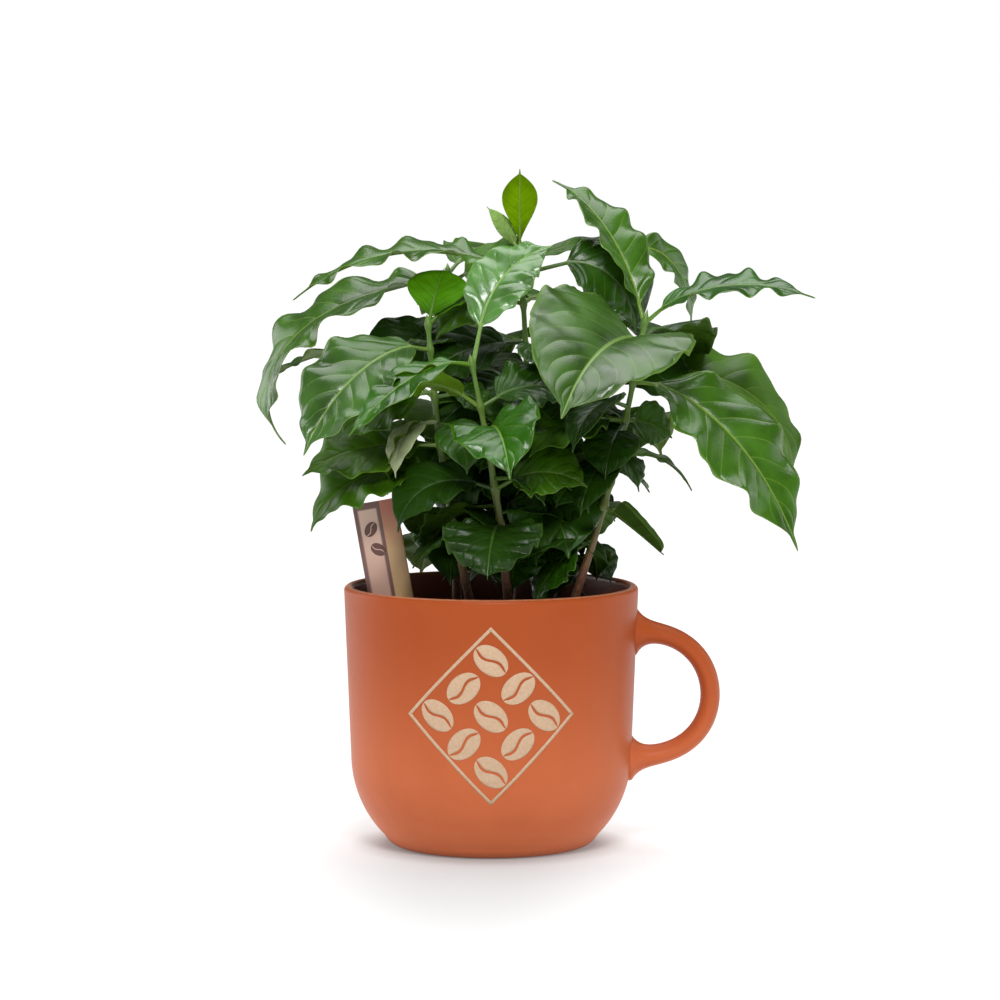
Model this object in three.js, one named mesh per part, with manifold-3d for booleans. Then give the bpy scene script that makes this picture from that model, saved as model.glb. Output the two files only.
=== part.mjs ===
// A potted coffee plant: six young seedlings growing together in a big stoneware mug with a handle.
// Millimetres, +Z up. The origin is the centre of the mug's flat underside and +X points to the handle.
import * as THREE from 'three';
import { mergeVertices } from 'three/addons/utils/BufferGeometryUtils.js';
import Module from 'manifold-3d';

const wasm = await Module();
wasm.setup();

const { cos, sin, exp, PI } = Math;
const RAD = PI / 180;

// Gap left between neighbouring pieces
const GAP = 0.3;

// Mug body: a straight, slightly flared side over a round shoulder and a short coned foot with a soft edge
const MUG_HEIGHT = 106.5;
const RIM_RADIUS = 60;
const WALL = 4;
const SIDE_RADIUS = 57.3;
const SIDE_START = 37;
const SHOULDER_RADIUS = 46;
const SHOULDER_ANGLE = 45 * RAD;
const FOOT_RADIUS = 37;
const FOOT_EDGE = [41, 1.4];
const FLOOR_LEVEL = 7;
const MUG_SEGMENTS = 48;
const SHOULDER_STEPS = 7;
const LIP_STEPS = 6;

// Handle: an ear that leaves the side level, bends round and comes back level
const HANDLE_MIDDLE = 61.5;
const HANDLE_HALF_HEIGHT = 25.8;
const HANDLE_ROOT = 57;
const HANDLE_REACH = 32.5;
const HANDLE_THICKNESS = 8;
const HANDLE_BREADTH = 13;
const HANDLE_FLARE = 11;
const HANDLE_FLARE_LENGTH = 3.2;
const HANDLE_FULLNESS = 0.75;
const HANDLE_STEPS = 18;
const HANDLE_SIDES = 12;

// Soil and the card stuck into it
const SOIL_LEVEL = 90;
const CARD_WIDTH = 18;
const CARD_THICKNESS = 0.9;
const CARD_LENGTH = 70;
const CARD_CENTRE = [-41.4, -10, 107];
const CARD_LEAN = -10 * RAD;

// Stems: radius at the soil and at the tip, root flare, and the swelling that carries each pair of leaves
const STEM_FOOT_RADIUS = 2.1;
const STEM_TIP_RADIUS = 0.9;
const STEM_FLARE = 1.2;
const STEM_FLARE_HEIGHT = 5;
const STEM_SIDES = 7;
const STEM_RINGS = 9;
const STEM_RING_CROWDING = 1.3;
const BUD_LENGTH = 2.5;
const COLLAR_HALF_HEIGHT = 2.3;
const COLLAR_SWELL = 1.7;
const COLLAR_SIDES = 7;

// Leaves: thickness at the midrib, stalk radius and taper, how the blade folds up from the midrib and curls
// down again, and the waves of its margin
const LEAF_THICKNESS = 1.1;
const STALK_RADIUS = 0.95;
const STALK_TAPER = 0.8;
const LEAF_FOLD = 0.2;
const LEAF_CURL = 0.14;
const WAVE_HEIGHT = 0.055;
const WAVE_COUNT = 3.5;
const WAVE_SETTLE = 0.25;
const WAVE_LAG = 2;

// Blade outline, in shares of the leaf's length and half width: where the full blade ends, how early it is
// widest, how full it is, and the drawn-out drip tip past it
const BLADE_ROWS = [0.05, 0.14, 0.24, 0.35, 0.46, 0.57, 0.68, 0.79, 0.88, 0.94];
const BLADE_END = 0.93;
const BLADE_EARLY = 0.9;
const BLADE_FULLNESS = 0.85;
const DRIP_TIP = 0.085;
const DRIP_START = 0.8;
const DRIP_TAPER = 0.12;
const DRIP_POWER = 0.7;

// One leaf: where it points (0 is +X, 90 is +Y), its rise at the stalk, how far it bends down by its tip,
// its length and width, its roll about the midrib, its stalk, and its fold. Angles are in degrees.
function leaf(turn, rise, droop, length, width, roll = 0, stalk = 7, fold = LEAF_FOLD) {
  return { turn, rise, droop, length, width, roll, stalk, fold };
}

// Each seedling has its foot in the soil, its tip, a sideways bow halfway up, and pairs of leaves by height
const SEEDLINGS = {
  tall: {
    foot: [10, 8], tip: [11.5, 6, 244], bow: [4, 0],
    pairs: [
      [242, leaf(-90, 86, 4, 31, 13, 0, 3), leaf(165, 62, 20, 20, 10, 0, 3)],
      [233, leaf(180, 20, 60, 90, 28, -18), leaf(15, 34, 112, 64, 38, 20)],
      [221, leaf(198, 0, 70, 28, 24, -35), leaf(65, 14, 70, 56, 30)],
      [203, leaf(112, 16, 70, 56, 34), leaf(300, 5, 80, 26, 30)],
      [184, leaf(-92, 0, 80, 22, 20), leaf(125, 15, 70, 40, 32)],
      [164, leaf(215, 5, 85, 22, 22, -35), leaf(-28, 5, 80, 20, 20, 30)],
      [144, leaf(-60, 0, 85, 34, 34, 10), leaf(112, 10, 75, 22, 22)],
      [122, leaf(-100, -10, 60, 26, 26), leaf(13, -10, 60, 26, 27, 30)],
    ],
  },
  left: {
    foot: [-6, -12], tip: [-25.5, -14, 215], bow: [-3, 0],
    pairs: [
      [213, leaf(80, 58, 60, 38, 25, 0, 5), leaf(40, 40, 40, 22, 11, 0, 4)],
      [203, leaf(216, 12, 98, 72, 39, -12), leaf(88, 14, 65, 20, 20)],
      [184, leaf(166, 36, 108, 29, 22, -20), leaf(-5, 10, 80, 18, 20, 30)],
      [166.5, leaf(184, 20, 72, 60, 34, -34), leaf(80, 10, 70, 22, 20)],
      [150, leaf(190, 10, 62, 56, 34, -28), leaf(25, 0, 80, 26, 24, 30)],
      [130, leaf(208, -10, 55, 28, 24, -20), leaf(60, 0, 60, 16, 16)],
    ],
  },
  centre: {
    foot: [8, -22], tip: [-8, -30, 200], bow: [2, 0],
    pairs: [
      [198, leaf(36, 80, 84, 62, 36), leaf(226, 0, 76, 54, 28, -22)],
      [181, leaf(192, 42, 108, 58, 30, -8), leaf(15, 24, 72, 29, 26, 25)],
      [170, leaf(-84, 18, 84, 52, 34, 0, 4, 0.35), leaf(110, 15, 65, 18, 16)],
      [148, leaf(-15, 8, 50, 42, 30, 35), leaf(198, 20, 90, 46, 28, -30)],
      [133, leaf(-108, 0, 65, 36, 36), leaf(95, 5, 65, 16, 14)],
    ],
  },
  right: {
    foot: [30, -10], tip: [62.5, -12, 217], bow: [3, 0],
    pairs: [
      [214, leaf(140, 82, 66, 70, 30), leaf(-8, 26, 42, 66, 28, 20)],
      [207, leaf(246, 6, 58, 82, 64, -14, 6, 0.5), leaf(70, 15, 65, 70, 38)],
      [190, leaf(-22, -16, 58, 94, 42, 30), leaf(130, 15, 65, 40, 32)],
      [174.5, leaf(222, 5, 72, 46, 38, -15), leaf(12, 0, 40, 26, 27, 42)],
      [149, leaf(5, 65, 115, 40, 18, 50), leaf(195, 5, 80, 20, 20, -35)],
      [139.5, leaf(-24, 4, 76, 32, 22, 30), leaf(80, -15, 55, 34, 28)],
    ],
  },
  rear_left: {
    foot: [-14, 22], tip: [-18, 34, 234], bow: [0, 4],
    pairs: [
      [232, leaf(182, -14, 62, 94, 38, -30), leaf(60, 30, 65, 60, 32)],
      [212, leaf(85, 20, 70, 64, 34), leaf(258, 10, 75, 22, 22)],
      [192, leaf(163, 22, 58, 80, 32), leaf(38, 10, 65, 36, 30, -20)],
      [172, leaf(100, 15, 70, 60, 34), leaf(300, 5, 80, 22, 24)],
      [150, leaf(168, 12, 70, 60, 36, 30), leaf(5, 8, 75, 20, 22, -25)],
      [124, leaf(110, 0, 60, 44, 32), leaf(230, -5, 60, 26, 26)],
      [111, leaf(183, -8, 45, 26, 24, 25), leaf(-20, -8, 50, 14, 18, -20)],
    ],
  },
  rear_right: {
    foot: [26, 24], tip: [54, 34, 240], bow: [2, 2],
    pairs: [
      [238, leaf(35, 12, 110, 62, 24, 40), leaf(175, 25, 65, 32, 22)],
      [214, leaf(92, 20, 70, 64, 34), leaf(262, 5, 75, 16, 16)],
      [192, leaf(2, 22, 92, 94, 38, -22), leaf(165, 15, 65, 32, 30)],
      [170, leaf(62, 15, 70, 64, 34), leaf(270, 10, 80, 21, 20)],
      [150, leaf(-12, 10, 65, 46, 32, 35), leaf(125, 10, 75, 46, 32)],
      [124, leaf(45, 0, 60, 40, 32), leaf(195, -5, 60, 26, 24)],
      [111, leaf(40, -5, 30, 16, 16), leaf(252, -5, 50, 22, 18)],
    ],
  },
};

// Colours and roughness
const CLAY = 0xb05830;
const SOIL_BROWN = 0x2a1c14;
const CARD_TONE = 0xc9a58a;
const STEM_GREEN = 0x6b7a3a;
const LEAF_GREEN = 0x2f6b25;
const CLAY_ROUGHNESS = 0.45;
const SOIL_ROUGHNESS = 0.95;
const CARD_ROUGHNESS = 0.5;
const STEM_ROUGHNESS = 0.6;
const LEAF_ROUGHNESS = 0.35;

// Seeded chance, and the distances at which corners count as one, in a shape and in a finished piece
const SEED_STRIDE = 127.1;
const STEP_STRIDE = 311.7;
const SCATTER = 43758.5453;
const WAVE_STEP = 7;
const MERGE_DISTANCE = 1e-4;
const WELD_DISTANCE = 0.04;

function point(x, y, z) {
  return new THREE.Vector3(x, y, z);
}

// A seeded value between 0 and 1
function chance(seed, step) {
  const value = sin(seed * SEED_STRIDE + step * STEP_STRIDE) * SCATTER;
  return value - Math.floor(value);
}

// A geometry whose corners within a distance are merged, without the triangles that this flattens
function welded(geometry, distance) {
  const merged = mergeVertices(geometry, distance);
  const corners = Array.from(merged.index.array);
  const triangles = [];
  for (let i = 0; i < corners.length; i += 3) {
    const [a, b, c] = corners.slice(i, i + 3);
    if (a !== b && b !== c && c !== a) triangles.push(a, b, c);
  }
  merged.setIndex(triangles);
  return merged;
}

// A closed solid from a geometry
function solid(geometry) {
  geometry.deleteAttribute('normal');
  geometry.deleteAttribute('uv');
  const skin = welded(geometry, MERGE_DISTANCE);
  return new wasm.Manifold(new wasm.Mesh({
    numProp: 3,
    vertProperties: new Float32Array(skin.attributes.position.array),
    triVerts: new Uint32Array(skin.index.array),
  }));
}

// The largest body of a solid, so that a loose scrap is dropped
function largest(body) {
  const pieces = body.decompose();
  pieces.sort((a, b) => b.volume() - a.volume());
  return pieces[0];
}

// A named mesh from a solid
function mesh(name, body, colour, roughness) {
  const data = body.getMesh();
  const cut = new THREE.BufferGeometry();
  cut.setAttribute('position', new THREE.BufferAttribute(new Float32Array(data.vertProperties), 3));
  cut.setIndex(Array.from(data.triVerts));
  const geometry = welded(cut, WELD_DISTANCE);
  geometry.computeVertexNormals();
  const material = new THREE.MeshStandardMaterial({ color: colour, roughness, metalness: 0 });
  const piece = new THREE.Mesh(geometry, material);
  piece.name = name;
  return piece;
}

// A skin over rings of equal count, closed by a fan to one point at each end. Every second side is split along
// the other diagonal, so that the upper and lower faces of a thin blade are split alike and stay apart.
function loft(rings, first, last) {
  const count = rings[0].length;
  const points = [...rings.flat(), first, last];
  const start = rings.length * count;
  const faces = [];
  for (let k = 0; k < count; k += 1) {
    const next = (k + 1) % count;
    faces.push(start, next, k);
    for (let i = 0; i + 1 < rings.length; i += 1) {
      const low = i * count;
      const high = low + count;
      if (k % 2) faces.push(low + k, low + next, high + next, low + k, high + next, high + k);
      else faces.push(low + k, low + next, high + k, low + next, high + next, high + k);
    }
    const top = (rings.length - 1) * count;
    faces.push(start + 1, top + k, top + next);
  }
  const geometry = new THREE.BufferGeometry().setFromPoints(points);
  geometry.setIndex(faces);
  return solid(geometry);
}

// A level ring of points round a centre, anticlockwise from above
function levelRing(centre, radius, sides) {
  return Array.from({ length: sides }, (_, k) => {
    const angle = (2 * PI * k) / sides;
    return point(centre.x + radius * cos(angle), centre.y + radius * sin(angle), centre.z);
  });
}

// A turned body, from a profile of [radius, height] pairs that starts and ends on the axis, bottom first
function turned(profile) {
  const outline = profile.map(([r, z]) => new THREE.Vector2(r, z));
  const geometry = new THREE.LatheGeometry(outline, MUG_SEGMENTS);
  geometry.rotateX(PI / 2);
  return solid(geometry);
}

// Mug

const SHOULDER_CENTRE = SIDE_RADIUS - SHOULDER_RADIUS;
const LIP_LEVEL = MUG_HEIGHT - WALL / 2;

// Radius of the mug's straight outer side at a height
function sideRadius(z) {
  const share = (z - SIDE_START) / (LIP_LEVEL - SIDE_START);
  return SIDE_RADIUS + (RIM_RADIUS - SIDE_RADIUS) * share;
}

// Points round the shoulder, moved in or out by an offset, from one angle below level to another
function shoulder(offset, from, to) {
  return Array.from({ length: SHOULDER_STEPS + 1 }, (_, i) => {
    const angle = from + ((to - from) * i) / SHOULDER_STEPS;
    const radius = SHOULDER_RADIUS + offset;
    return [SHOULDER_CENTRE + radius * cos(angle), SIDE_START - radius * sin(angle)];
  });
}

// Angle at which the shoulder, moved by an offset, meets a level
function shoulderAngle(offset, level) {
  return Math.asin((SIDE_START - level) / (SHOULDER_RADIUS + offset));
}

// The mug's outer outline from the axis up to a level, moved out by an offset
function outerOutline(offset, level) {
  return [
    [0, -offset],
    [FOOT_RADIUS, -offset],
    [FOOT_EDGE[0] + offset, FOOT_EDGE[1]],
    ...shoulder(offset, SHOULDER_ANGLE, 0),
    [sideRadius(level) + offset, level],
  ];
}

// The inner outline from the axis up to a level, moved in by an offset
function innerOutline(offset, level) {
  const inset = -WALL - offset;
  const bottom = FLOOR_LEVEL + offset;
  return [
    [0, bottom],
    ...shoulder(inset, shoulderAngle(inset, bottom), 0),
    [sideRadius(level) + inset, level],
  ];
}

function mugBody() {
  const lip = Array.from({ length: LIP_STEPS - 1 }, (_, i) => {
    const angle = (PI * (i + 1)) / LIP_STEPS;
    const half = WALL / 2;
    return [RIM_RADIUS - half + half * cos(angle), LIP_LEVEL + half * sin(angle)];
  });
  const inside = innerOutline(0, LIP_LEVEL).reverse();
  return turned([...outerOutline(0, LIP_LEVEL), ...lip, ...inside]);
}

// The handle's middle line at a share of its sweep: an ear, level where it meets the side
function handlePath(share) {
  const bulge = sin(PI * share) ** HANDLE_FULLNESS;
  return point(HANDLE_ROOT + HANDLE_REACH * bulge, 0, HANDLE_MIDDLE + HANDLE_HALF_HEIGHT * cos(PI * share));
}

// The handle, with its rings crowded towards its flared roots, cut clear of the mug's side
function mugHandle() {
  const centres = Array.from({ length: HANDLE_STEPS + 1 }, (_, i) => {
    const level = (2 * i) / HANDLE_STEPS - 1;
    const fromEnd = (1 - Math.abs(level)) ** 2 / 2;
    return handlePath(level < 0 ? fromEnd : 1 - fromEnd);
  });
  const rings = centres.map((centre, i) => {
    const before = centres[Math.max(i - 1, 0)];
    const after = centres[Math.min(i + 1, centres.length - 1)];
    const along = after.clone().sub(before).normalize();
    const outward = point(-along.z, 0, along.x);
    const flare = HANDLE_FLARE * exp(-(centre.x - HANDLE_ROOT) / HANDLE_FLARE_LENGTH);
    const halfThickness = (HANDLE_THICKNESS + flare) / 2;
    const halfBreadth = (HANDLE_BREADTH + flare / 2) / 2;
    return Array.from({ length: HANDLE_SIDES }, (_, k) => {
      const angle = (2 * PI * k) / HANDLE_SIDES;
      const ring = centre.clone().addScaledVector(outward, halfThickness * sin(angle));
      ring.y += halfBreadth * cos(angle);
      return ring;
    });
  });
  const ear = loft(rings, centres[0], centres[centres.length - 1]);
  const clear = turned([...outerOutline(GAP, MUG_HEIGHT), [0, MUG_HEIGHT]]);
  return largest(ear.subtract(clear));
}

// The card's box, enlarged on all sides by a margin, at its place
function cardBox(margin) {
  const grow = 2 * margin;
  const geometry = new THREE.BoxGeometry(CARD_WIDTH + grow, CARD_THICKNESS + grow, CARD_LENGTH + grow);
  geometry.rotateY(CARD_LEAN);
  geometry.translate(...CARD_CENTRE);
  return solid(geometry);
}

function pottingSoil() {
  const plug = turned([...innerOutline(GAP, SOIL_LEVEL), [0, SOIL_LEVEL]]);
  return plug.subtract(cardBox(GAP));
}

// Seedlings

// A point of a stem's middle line at a height
function stemPoint(seedling, z) {
  const { foot, tip, bow } = seedling;
  const share = (z - SOIL_LEVEL) / (tip[2] - SOIL_LEVEL);
  const bulge = sin(PI * Math.min(share, 1));
  return point(
    foot[0] + (tip[0] - foot[0]) * share + bow[0] * bulge,
    foot[1] + (tip[1] - foot[1]) * share + bow[1] * bulge,
    z,
  );
}

// A stem's radius at a height: an even taper with a root flare at the soil
function stemRadius(seedling, z) {
  const share = (z - SOIL_LEVEL) / (seedling.tip[2] - SOIL_LEVEL);
  const flare = STEM_FLARE * exp(-(z - SOIL_LEVEL) / STEM_FLARE_HEIGHT);
  return STEM_FOOT_RADIUS + (STEM_TIP_RADIUS - STEM_FOOT_RADIUS) * share + flare;
}

// A stem from its flat foot on the soil to its bud, with every surface moved out by a margin
function stemBody(seedling, margin) {
  const foot = SOIL_LEVEL + GAP - margin;
  const top = seedling.tip[2];
  const rings = Array.from({ length: STEM_RINGS + 1 }, (_, i) => {
    const z = foot + (top - foot) * (i / STEM_RINGS) ** STEM_RING_CROWDING;
    return levelRing(stemPoint(seedling, z), stemRadius(seedling, z) + margin, STEM_SIDES);
  });
  return loft(rings, stemPoint(seedling, foot), stemPoint(seedling, top + BUD_LENGTH + margin));
}

// Half the width of a blade as a share of its largest, from the stalk at 0 to the drawn-out tip at 1
function bladeShare(t) {
  const wave = Math.max(sin(PI * Math.min(t / BLADE_END, 1) ** BLADE_EARLY), 0);
  const tip = t > DRIP_START ? DRIP_TIP * Math.min((1 - t) / DRIP_TAPER, 1) ** DRIP_POWER : 0;
  return Math.max(wave ** BLADE_FULLNESS, tip);
}

// The middle line of a leaf at a share of its length: an arc in an upright plane, bending down by droop
function midrib(start, blade, t) {
  const heading = point(cos(blade.turn * RAD), sin(blade.turn * RAD), 0);
  const rise = blade.rise * RAD;
  const bend = blade.droop * RAD;
  const run = (blade.length / bend) * (sin(rise) - sin(rise - bend * t));
  const climb = (blade.length / bend) * (cos(rise - bend * t) - cos(rise));
  return start.clone().addScaledVector(heading, run).add(point(0, 0, climb));
}

// The across and upward directions of a leaf at a share of its length, rolled about the midrib
function leafFrame(blade, t) {
  const turn = blade.turn * RAD;
  const pitch = (blade.rise - blade.droop * t) * RAD;
  const roll = blade.roll * RAD;
  const side = point(-sin(turn), cos(turn), 0);
  const up = point(-sin(pitch) * cos(turn), -sin(pitch) * sin(turn), cos(pitch));
  return {
    across: side.clone().multiplyScalar(cos(roll)).addScaledVector(up, sin(roll)),
    upward: up.clone().multiplyScalar(cos(roll)).addScaledVector(side, -sin(roll)),
  };
}

// Height of the blade over its midrib: folded up, curled down again, with a waved margin
function bladeLift(blade, seed, t, u, half) {
  const phase = 2 * PI * chance(seed, WAVE_STEP) + (u > 0 ? 0 : WAVE_LAG);
  const settle = Math.min(1, half / (WAVE_SETTLE * blade.width));
  const wave = WAVE_HEIGHT * blade.width * u * u * sin(2 * PI * WAVE_COUNT * t + phase) * settle;
  return blade.fold * Math.abs(u) * half - LEAF_CURL * u * u * half + wave;
}

// One leaf as a skin over four-cornered rings: a stalk that widens into a blade, thickest at the midrib
function leafBody(root, blade, seed) {
  const corners = Array.from({ length: 4 }, (_, k) => (k * PI) / 2);
  const frame = leafFrame(blade, 0);
  const rise = blade.rise * RAD;
  const turn = blade.turn * RAD;
  const along = point(cos(rise) * cos(turn), cos(rise) * sin(turn), sin(rise));
  const start = root.clone().addScaledVector(along, blade.stalk);
  const stalkRing = (centre, radius) => corners.map((angle) => centre.clone()
    .addScaledVector(frame.across, radius * cos(angle))
    .addScaledVector(frame.upward, radius * sin(angle)));
  const bladeRing = (t) => {
    const { across, upward } = leafFrame(blade, t);
    const half = (bladeShare(t) * blade.width) / 2;
    return corners.map((angle) => {
      const u = Math.round(cos(angle));
      const skin = (LEAF_THICKNESS / 2) * Math.round(sin(angle));
      return midrib(start, blade, t)
        .addScaledVector(across, u * half)
        .addScaledVector(upward, bladeLift(blade, seed, t, u, half) + skin);
    });
  };
  const stalk = [stalkRing(root, STALK_RADIUS), stalkRing(start, STALK_TAPER * STALK_RADIUS)];
  const rings = [...stalk, ...BLADE_ROWS.map(bladeRing)];
  return loft(rings, root, midrib(start, blade, 1));
}

// A pair of leaves on the swollen collar that joins them round the stem, cut clear of the stem
function leafPair(seedling, [height, ...blades], seed) {
  const level = (offset, swell) => {
    const z = height + offset;
    return levelRing(stemPoint(seedling, z), stemRadius(seedling, z) + swell, COLLAR_SIDES);
  };
  const collarEnd = COLLAR_SWELL / 2;
  let body = loft(
    [level(-COLLAR_HALF_HEIGHT, collarEnd), level(0, COLLAR_SWELL), level(COLLAR_HALF_HEIGHT, collarEnd)],
    stemPoint(seedling, height - COLLAR_HALF_HEIGHT),
    stemPoint(seedling, height + COLLAR_HALF_HEIGHT),
  );
  blades.forEach((blade, side) => {
    const turn = blade.turn * RAD;
    const reach = stemRadius(seedling, height) + COLLAR_SWELL / 2;
    const root = stemPoint(seedling, height).add(point(reach * cos(turn), reach * sin(turn), 0));
    body = body.add(leafBody(root, blade, 2 * seed + side));
  });
  return largest(body.subtract(stemBody(seedling, GAP)));
}

const plant = new THREE.Group();
plant.add(mesh('mug_body', mugBody(), CLAY, CLAY_ROUGHNESS));
plant.add(mesh('mug_handle', mugHandle(), CLAY, CLAY_ROUGHNESS));
plant.add(mesh('potting_soil', pottingSoil(), SOIL_BROWN, SOIL_ROUGHNESS));
plant.add(mesh('plant_card', cardBox(0), CARD_TONE, CARD_ROUGHNESS));
let seed = 1;
for (const [name, seedling] of Object.entries(SEEDLINGS)) {
  plant.add(mesh(`stem_${name}`, stemBody(seedling, 0), STEM_GREEN, STEM_ROUGHNESS));
  seedling.pairs.forEach((pair, i) => {
    plant.add(mesh(`leaves_${name}_${i + 1}`, leafPair(seedling, pair, seed), LEAF_GREEN, LEAF_ROUGHNESS));
    seed += 1;
  });
}

export default plant;
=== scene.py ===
# Potted coffee plant: young seedlings growing together in a wide stoneware mug with an ear handle.
# Lengths are in millimetres and become metres where a mesh is made. +X points to the handle, +Y to the back.
import math
from collections import namedtuple

import bpy
import mathutils
import numpy as np
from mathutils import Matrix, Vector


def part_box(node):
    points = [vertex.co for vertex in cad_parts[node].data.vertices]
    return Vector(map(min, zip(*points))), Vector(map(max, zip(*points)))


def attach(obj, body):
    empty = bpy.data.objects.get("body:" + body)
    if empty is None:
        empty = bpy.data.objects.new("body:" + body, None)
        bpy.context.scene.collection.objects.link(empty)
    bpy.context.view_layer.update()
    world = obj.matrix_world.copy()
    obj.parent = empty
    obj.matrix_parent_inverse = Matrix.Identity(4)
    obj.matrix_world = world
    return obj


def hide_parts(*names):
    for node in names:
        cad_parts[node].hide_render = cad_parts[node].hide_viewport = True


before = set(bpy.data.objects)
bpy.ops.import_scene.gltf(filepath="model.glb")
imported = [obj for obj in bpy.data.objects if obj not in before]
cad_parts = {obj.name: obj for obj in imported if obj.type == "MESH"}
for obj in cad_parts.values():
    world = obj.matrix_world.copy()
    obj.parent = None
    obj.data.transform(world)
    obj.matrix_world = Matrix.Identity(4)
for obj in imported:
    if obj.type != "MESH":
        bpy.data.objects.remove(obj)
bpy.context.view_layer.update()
MM = 0.001


# Mug wall
# Turned stoneware: a straight, slightly flared side over a round shoulder and a short foot. Outside it has a
# satin orange slip, inside a dark brown glaze, and its rounded lip is painted paler where the two meet, as a
# painted highlight.

mug_top = np.array(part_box("mug_body")[1]) / MM
RIM_RADIUS, MUG_HEIGHT = mug_top[0], mug_top[2]
WALL = 4.0
SIDE_RADIUS = 57.3
SIDE_START = 37.0
SHOULDER_RADIUS = 46.0
SHOULDER_ANGLE = math.radians(45)
FOOT_RADIUS = 37.0
FOOT_EDGE = (41.4, 0.0)
UNDERSIDE_START = 5.0
FLOOR_LEVEL = 7.0
LIP_LEVEL = MUG_HEIGHT - WALL / 2
MUG_SEGMENTS = 160
UNDERSIDE_ROWS = 6
EDGE_ROWS = 12
SHOULDER_ROWS = 28
SIDE_ROWS = 18
LIP_ROWS = 22
INSIDE_ROWS = 16
SLIP_ON_LIP_ROWS = 5
HIGHLIGHT_ROWS = 8
CLAY_LOW = (205, 110, 69)
# Painted shade: the slip is painted darker and redder towards the lip, for the shade of the leaves above
CLAY_SHADED_TOP = (163, 74, 32)
CLAY_CLOUD = (178, 84, 46)
CLAY_FOOT = (226, 126, 80)
# Painted contact shadow: the slip is painted dark just where the foot meets the table
CLAY_CONTACT_SHADOW = (96, 44, 24)
CLAY_SPECK = (120, 56, 30)
CLAY_SHOWS = (0.25, 0.6, 0.3, 0.12)
TOP_SHADE_SPAN = (10.0, 100.0)
FOOT_PALES = (16.0, 6.0)
CONTACT_SHADOW_SPAN = (4.0, 0.0)
CLAY_ROUGH = (0.36, 0.46)
# Painted highlight: the paler band over the lip's crest stands for light glancing off it
LIP_HIGHLIGHT_COLOURS = (196, 128, 92), (172, 102, 70)
GLAZE_COLOURS = (100, 46, 30), (122, 60, 38)
GLAZE_ROUGH = (0.3, 0.42)
NOISE_SPAN = (0.3, 0.7)
GRAIN_SPAN = (0.35, 0.65)
CLOUD_SHARE = 0.06
SPECK_SHARE = 0.5
SPECK_SPAN = (0.06, 0.16)
MIX_INPUTS = (0, 6, 7)
MIX_RESULT = 2


def full_turn(count):
    """Angles at even steps round a circle."""
    return np.linspace(0, math.tau, count, endpoint=False)


def round_points(radius, angle, z):
    """Points at a radius and an angle about an upright axis, at a height."""
    return np.stack(np.broadcast_arrays(radius * np.cos(angle), radius * np.sin(angle), z), axis=-1)


def loft(rings, first, last):
    """A closed skin over rings of equal count: one quad between neighbours and a fan to a point at each end.
    The rings run anticlockwise when seen from the last end, so that the faces point outwards."""
    rows, count, _ = rings.shape
    index = np.arange(rows * count).reshape(rows, count)
    beside = np.roll(index, -1, axis=1)
    quads = np.stack([index[:-1], beside[:-1], beside[1:], index[1:]], axis=-1).reshape(-1, 4)
    tail = np.full(count, rows * count)
    fans = np.concatenate([
        np.stack([beside[0], index[0], tail], axis=-1),
        np.stack([index[-1], beside[-1], tail + 1], axis=-1),
    ])
    points = np.concatenate([rings.reshape(-1, 3), [first, last]])
    return points, quads, fans


def add_object(name, data):
    """A new object in the scene."""
    made = bpy.data.objects.new(name, data)
    bpy.context.scene.collection.objects.link(made)
    return made


def make_piece(name, points, quads, fans, materials, slots=None, uv=None):
    """An object from corner points in millimetres, four-cornered faces and three-cornered ones. slots gives
    each face's material, quads first, and uv each corner point's place on the pattern."""
    mesh = bpy.data.meshes.new(name)
    corners = np.concatenate([quads.ravel(), fans.ravel()]).astype(np.int32)
    sizes = np.concatenate([np.full(len(quads), 4), np.full(len(fans), 3)])
    mesh.vertices.add(len(points))
    mesh.vertices.foreach_set("co", (np.asarray(points) * MM).ravel())
    mesh.loops.add(len(corners))
    mesh.loops.foreach_set("vertex_index", corners)
    mesh.polygons.add(len(sizes))
    mesh.polygons.foreach_set("loop_start", np.concatenate([[0], np.cumsum(sizes)[:-1]]).astype(np.int32))
    if slots is not None:
        mesh.polygons.foreach_set("material_index", np.asarray(slots, dtype=np.int32))
    mesh.polygons.foreach_set("use_smooth", np.ones(len(sizes), dtype=bool))
    if uv is not None:
        layer = mesh.uv_layers.new(name="UVMap")
        layer.data.foreach_set("uv", np.asarray(uv)[corners].ravel())
    for material in materials:
        mesh.materials.append(material)
    mesh.update(calc_edges=True)
    mesh.validate()
    piece = add_object(name, mesh)
    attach(piece, "root")
    return piece


def srgb(red, green, blue):
    """A colour given as it looks on a screen, 0 to 255, as the linear colour that a shader takes."""
    share = np.array([red, green, blue]) / 255
    linear = np.where(share <= 0.04045, share / 12.92, ((share + 0.055) / 1.055) ** 2.4)
    return (*linear.tolist(), 1.0)


def new_material(name):
    """A material with its Principled shader and output, as (material, node tree, shader)."""
    material = bpy.data.materials.new(name)
    material.use_nodes = True
    tree = material.node_tree
    return material, tree, tree.nodes["Principled BSDF"]


def fill_socket(tree, socket, value):
    """Links an input to the socket given as its value, or sets the input's own value."""
    if isinstance(value, bpy.types.NodeSocket):
        tree.links.new(value, socket)
    else:
        socket.default_value = value


def fill(tree, node, **inputs):
    """Fills a node's inputs by name."""
    for label, value in inputs.items():
        fill_socket(tree, node.inputs[label.replace("_", " ")], value)


def put_node(tree, kind, settings=None, **inputs):
    """A new node. settings are its own options, and inputs are values or sockets by input name."""
    made = tree.nodes.new(kind)
    for option, value in (settings or {}).items():
        setattr(made, option, value)
    fill(tree, made, **inputs)
    return made


def calc(tree, operation, *values):
    """The result of a Math node on one to three values or sockets."""
    made = put_node(tree, "ShaderNodeMath", {"operation": operation})
    for socket, value in zip(made.inputs, values):
        fill_socket(tree, socket, value)
    return made.outputs[0]


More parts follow.
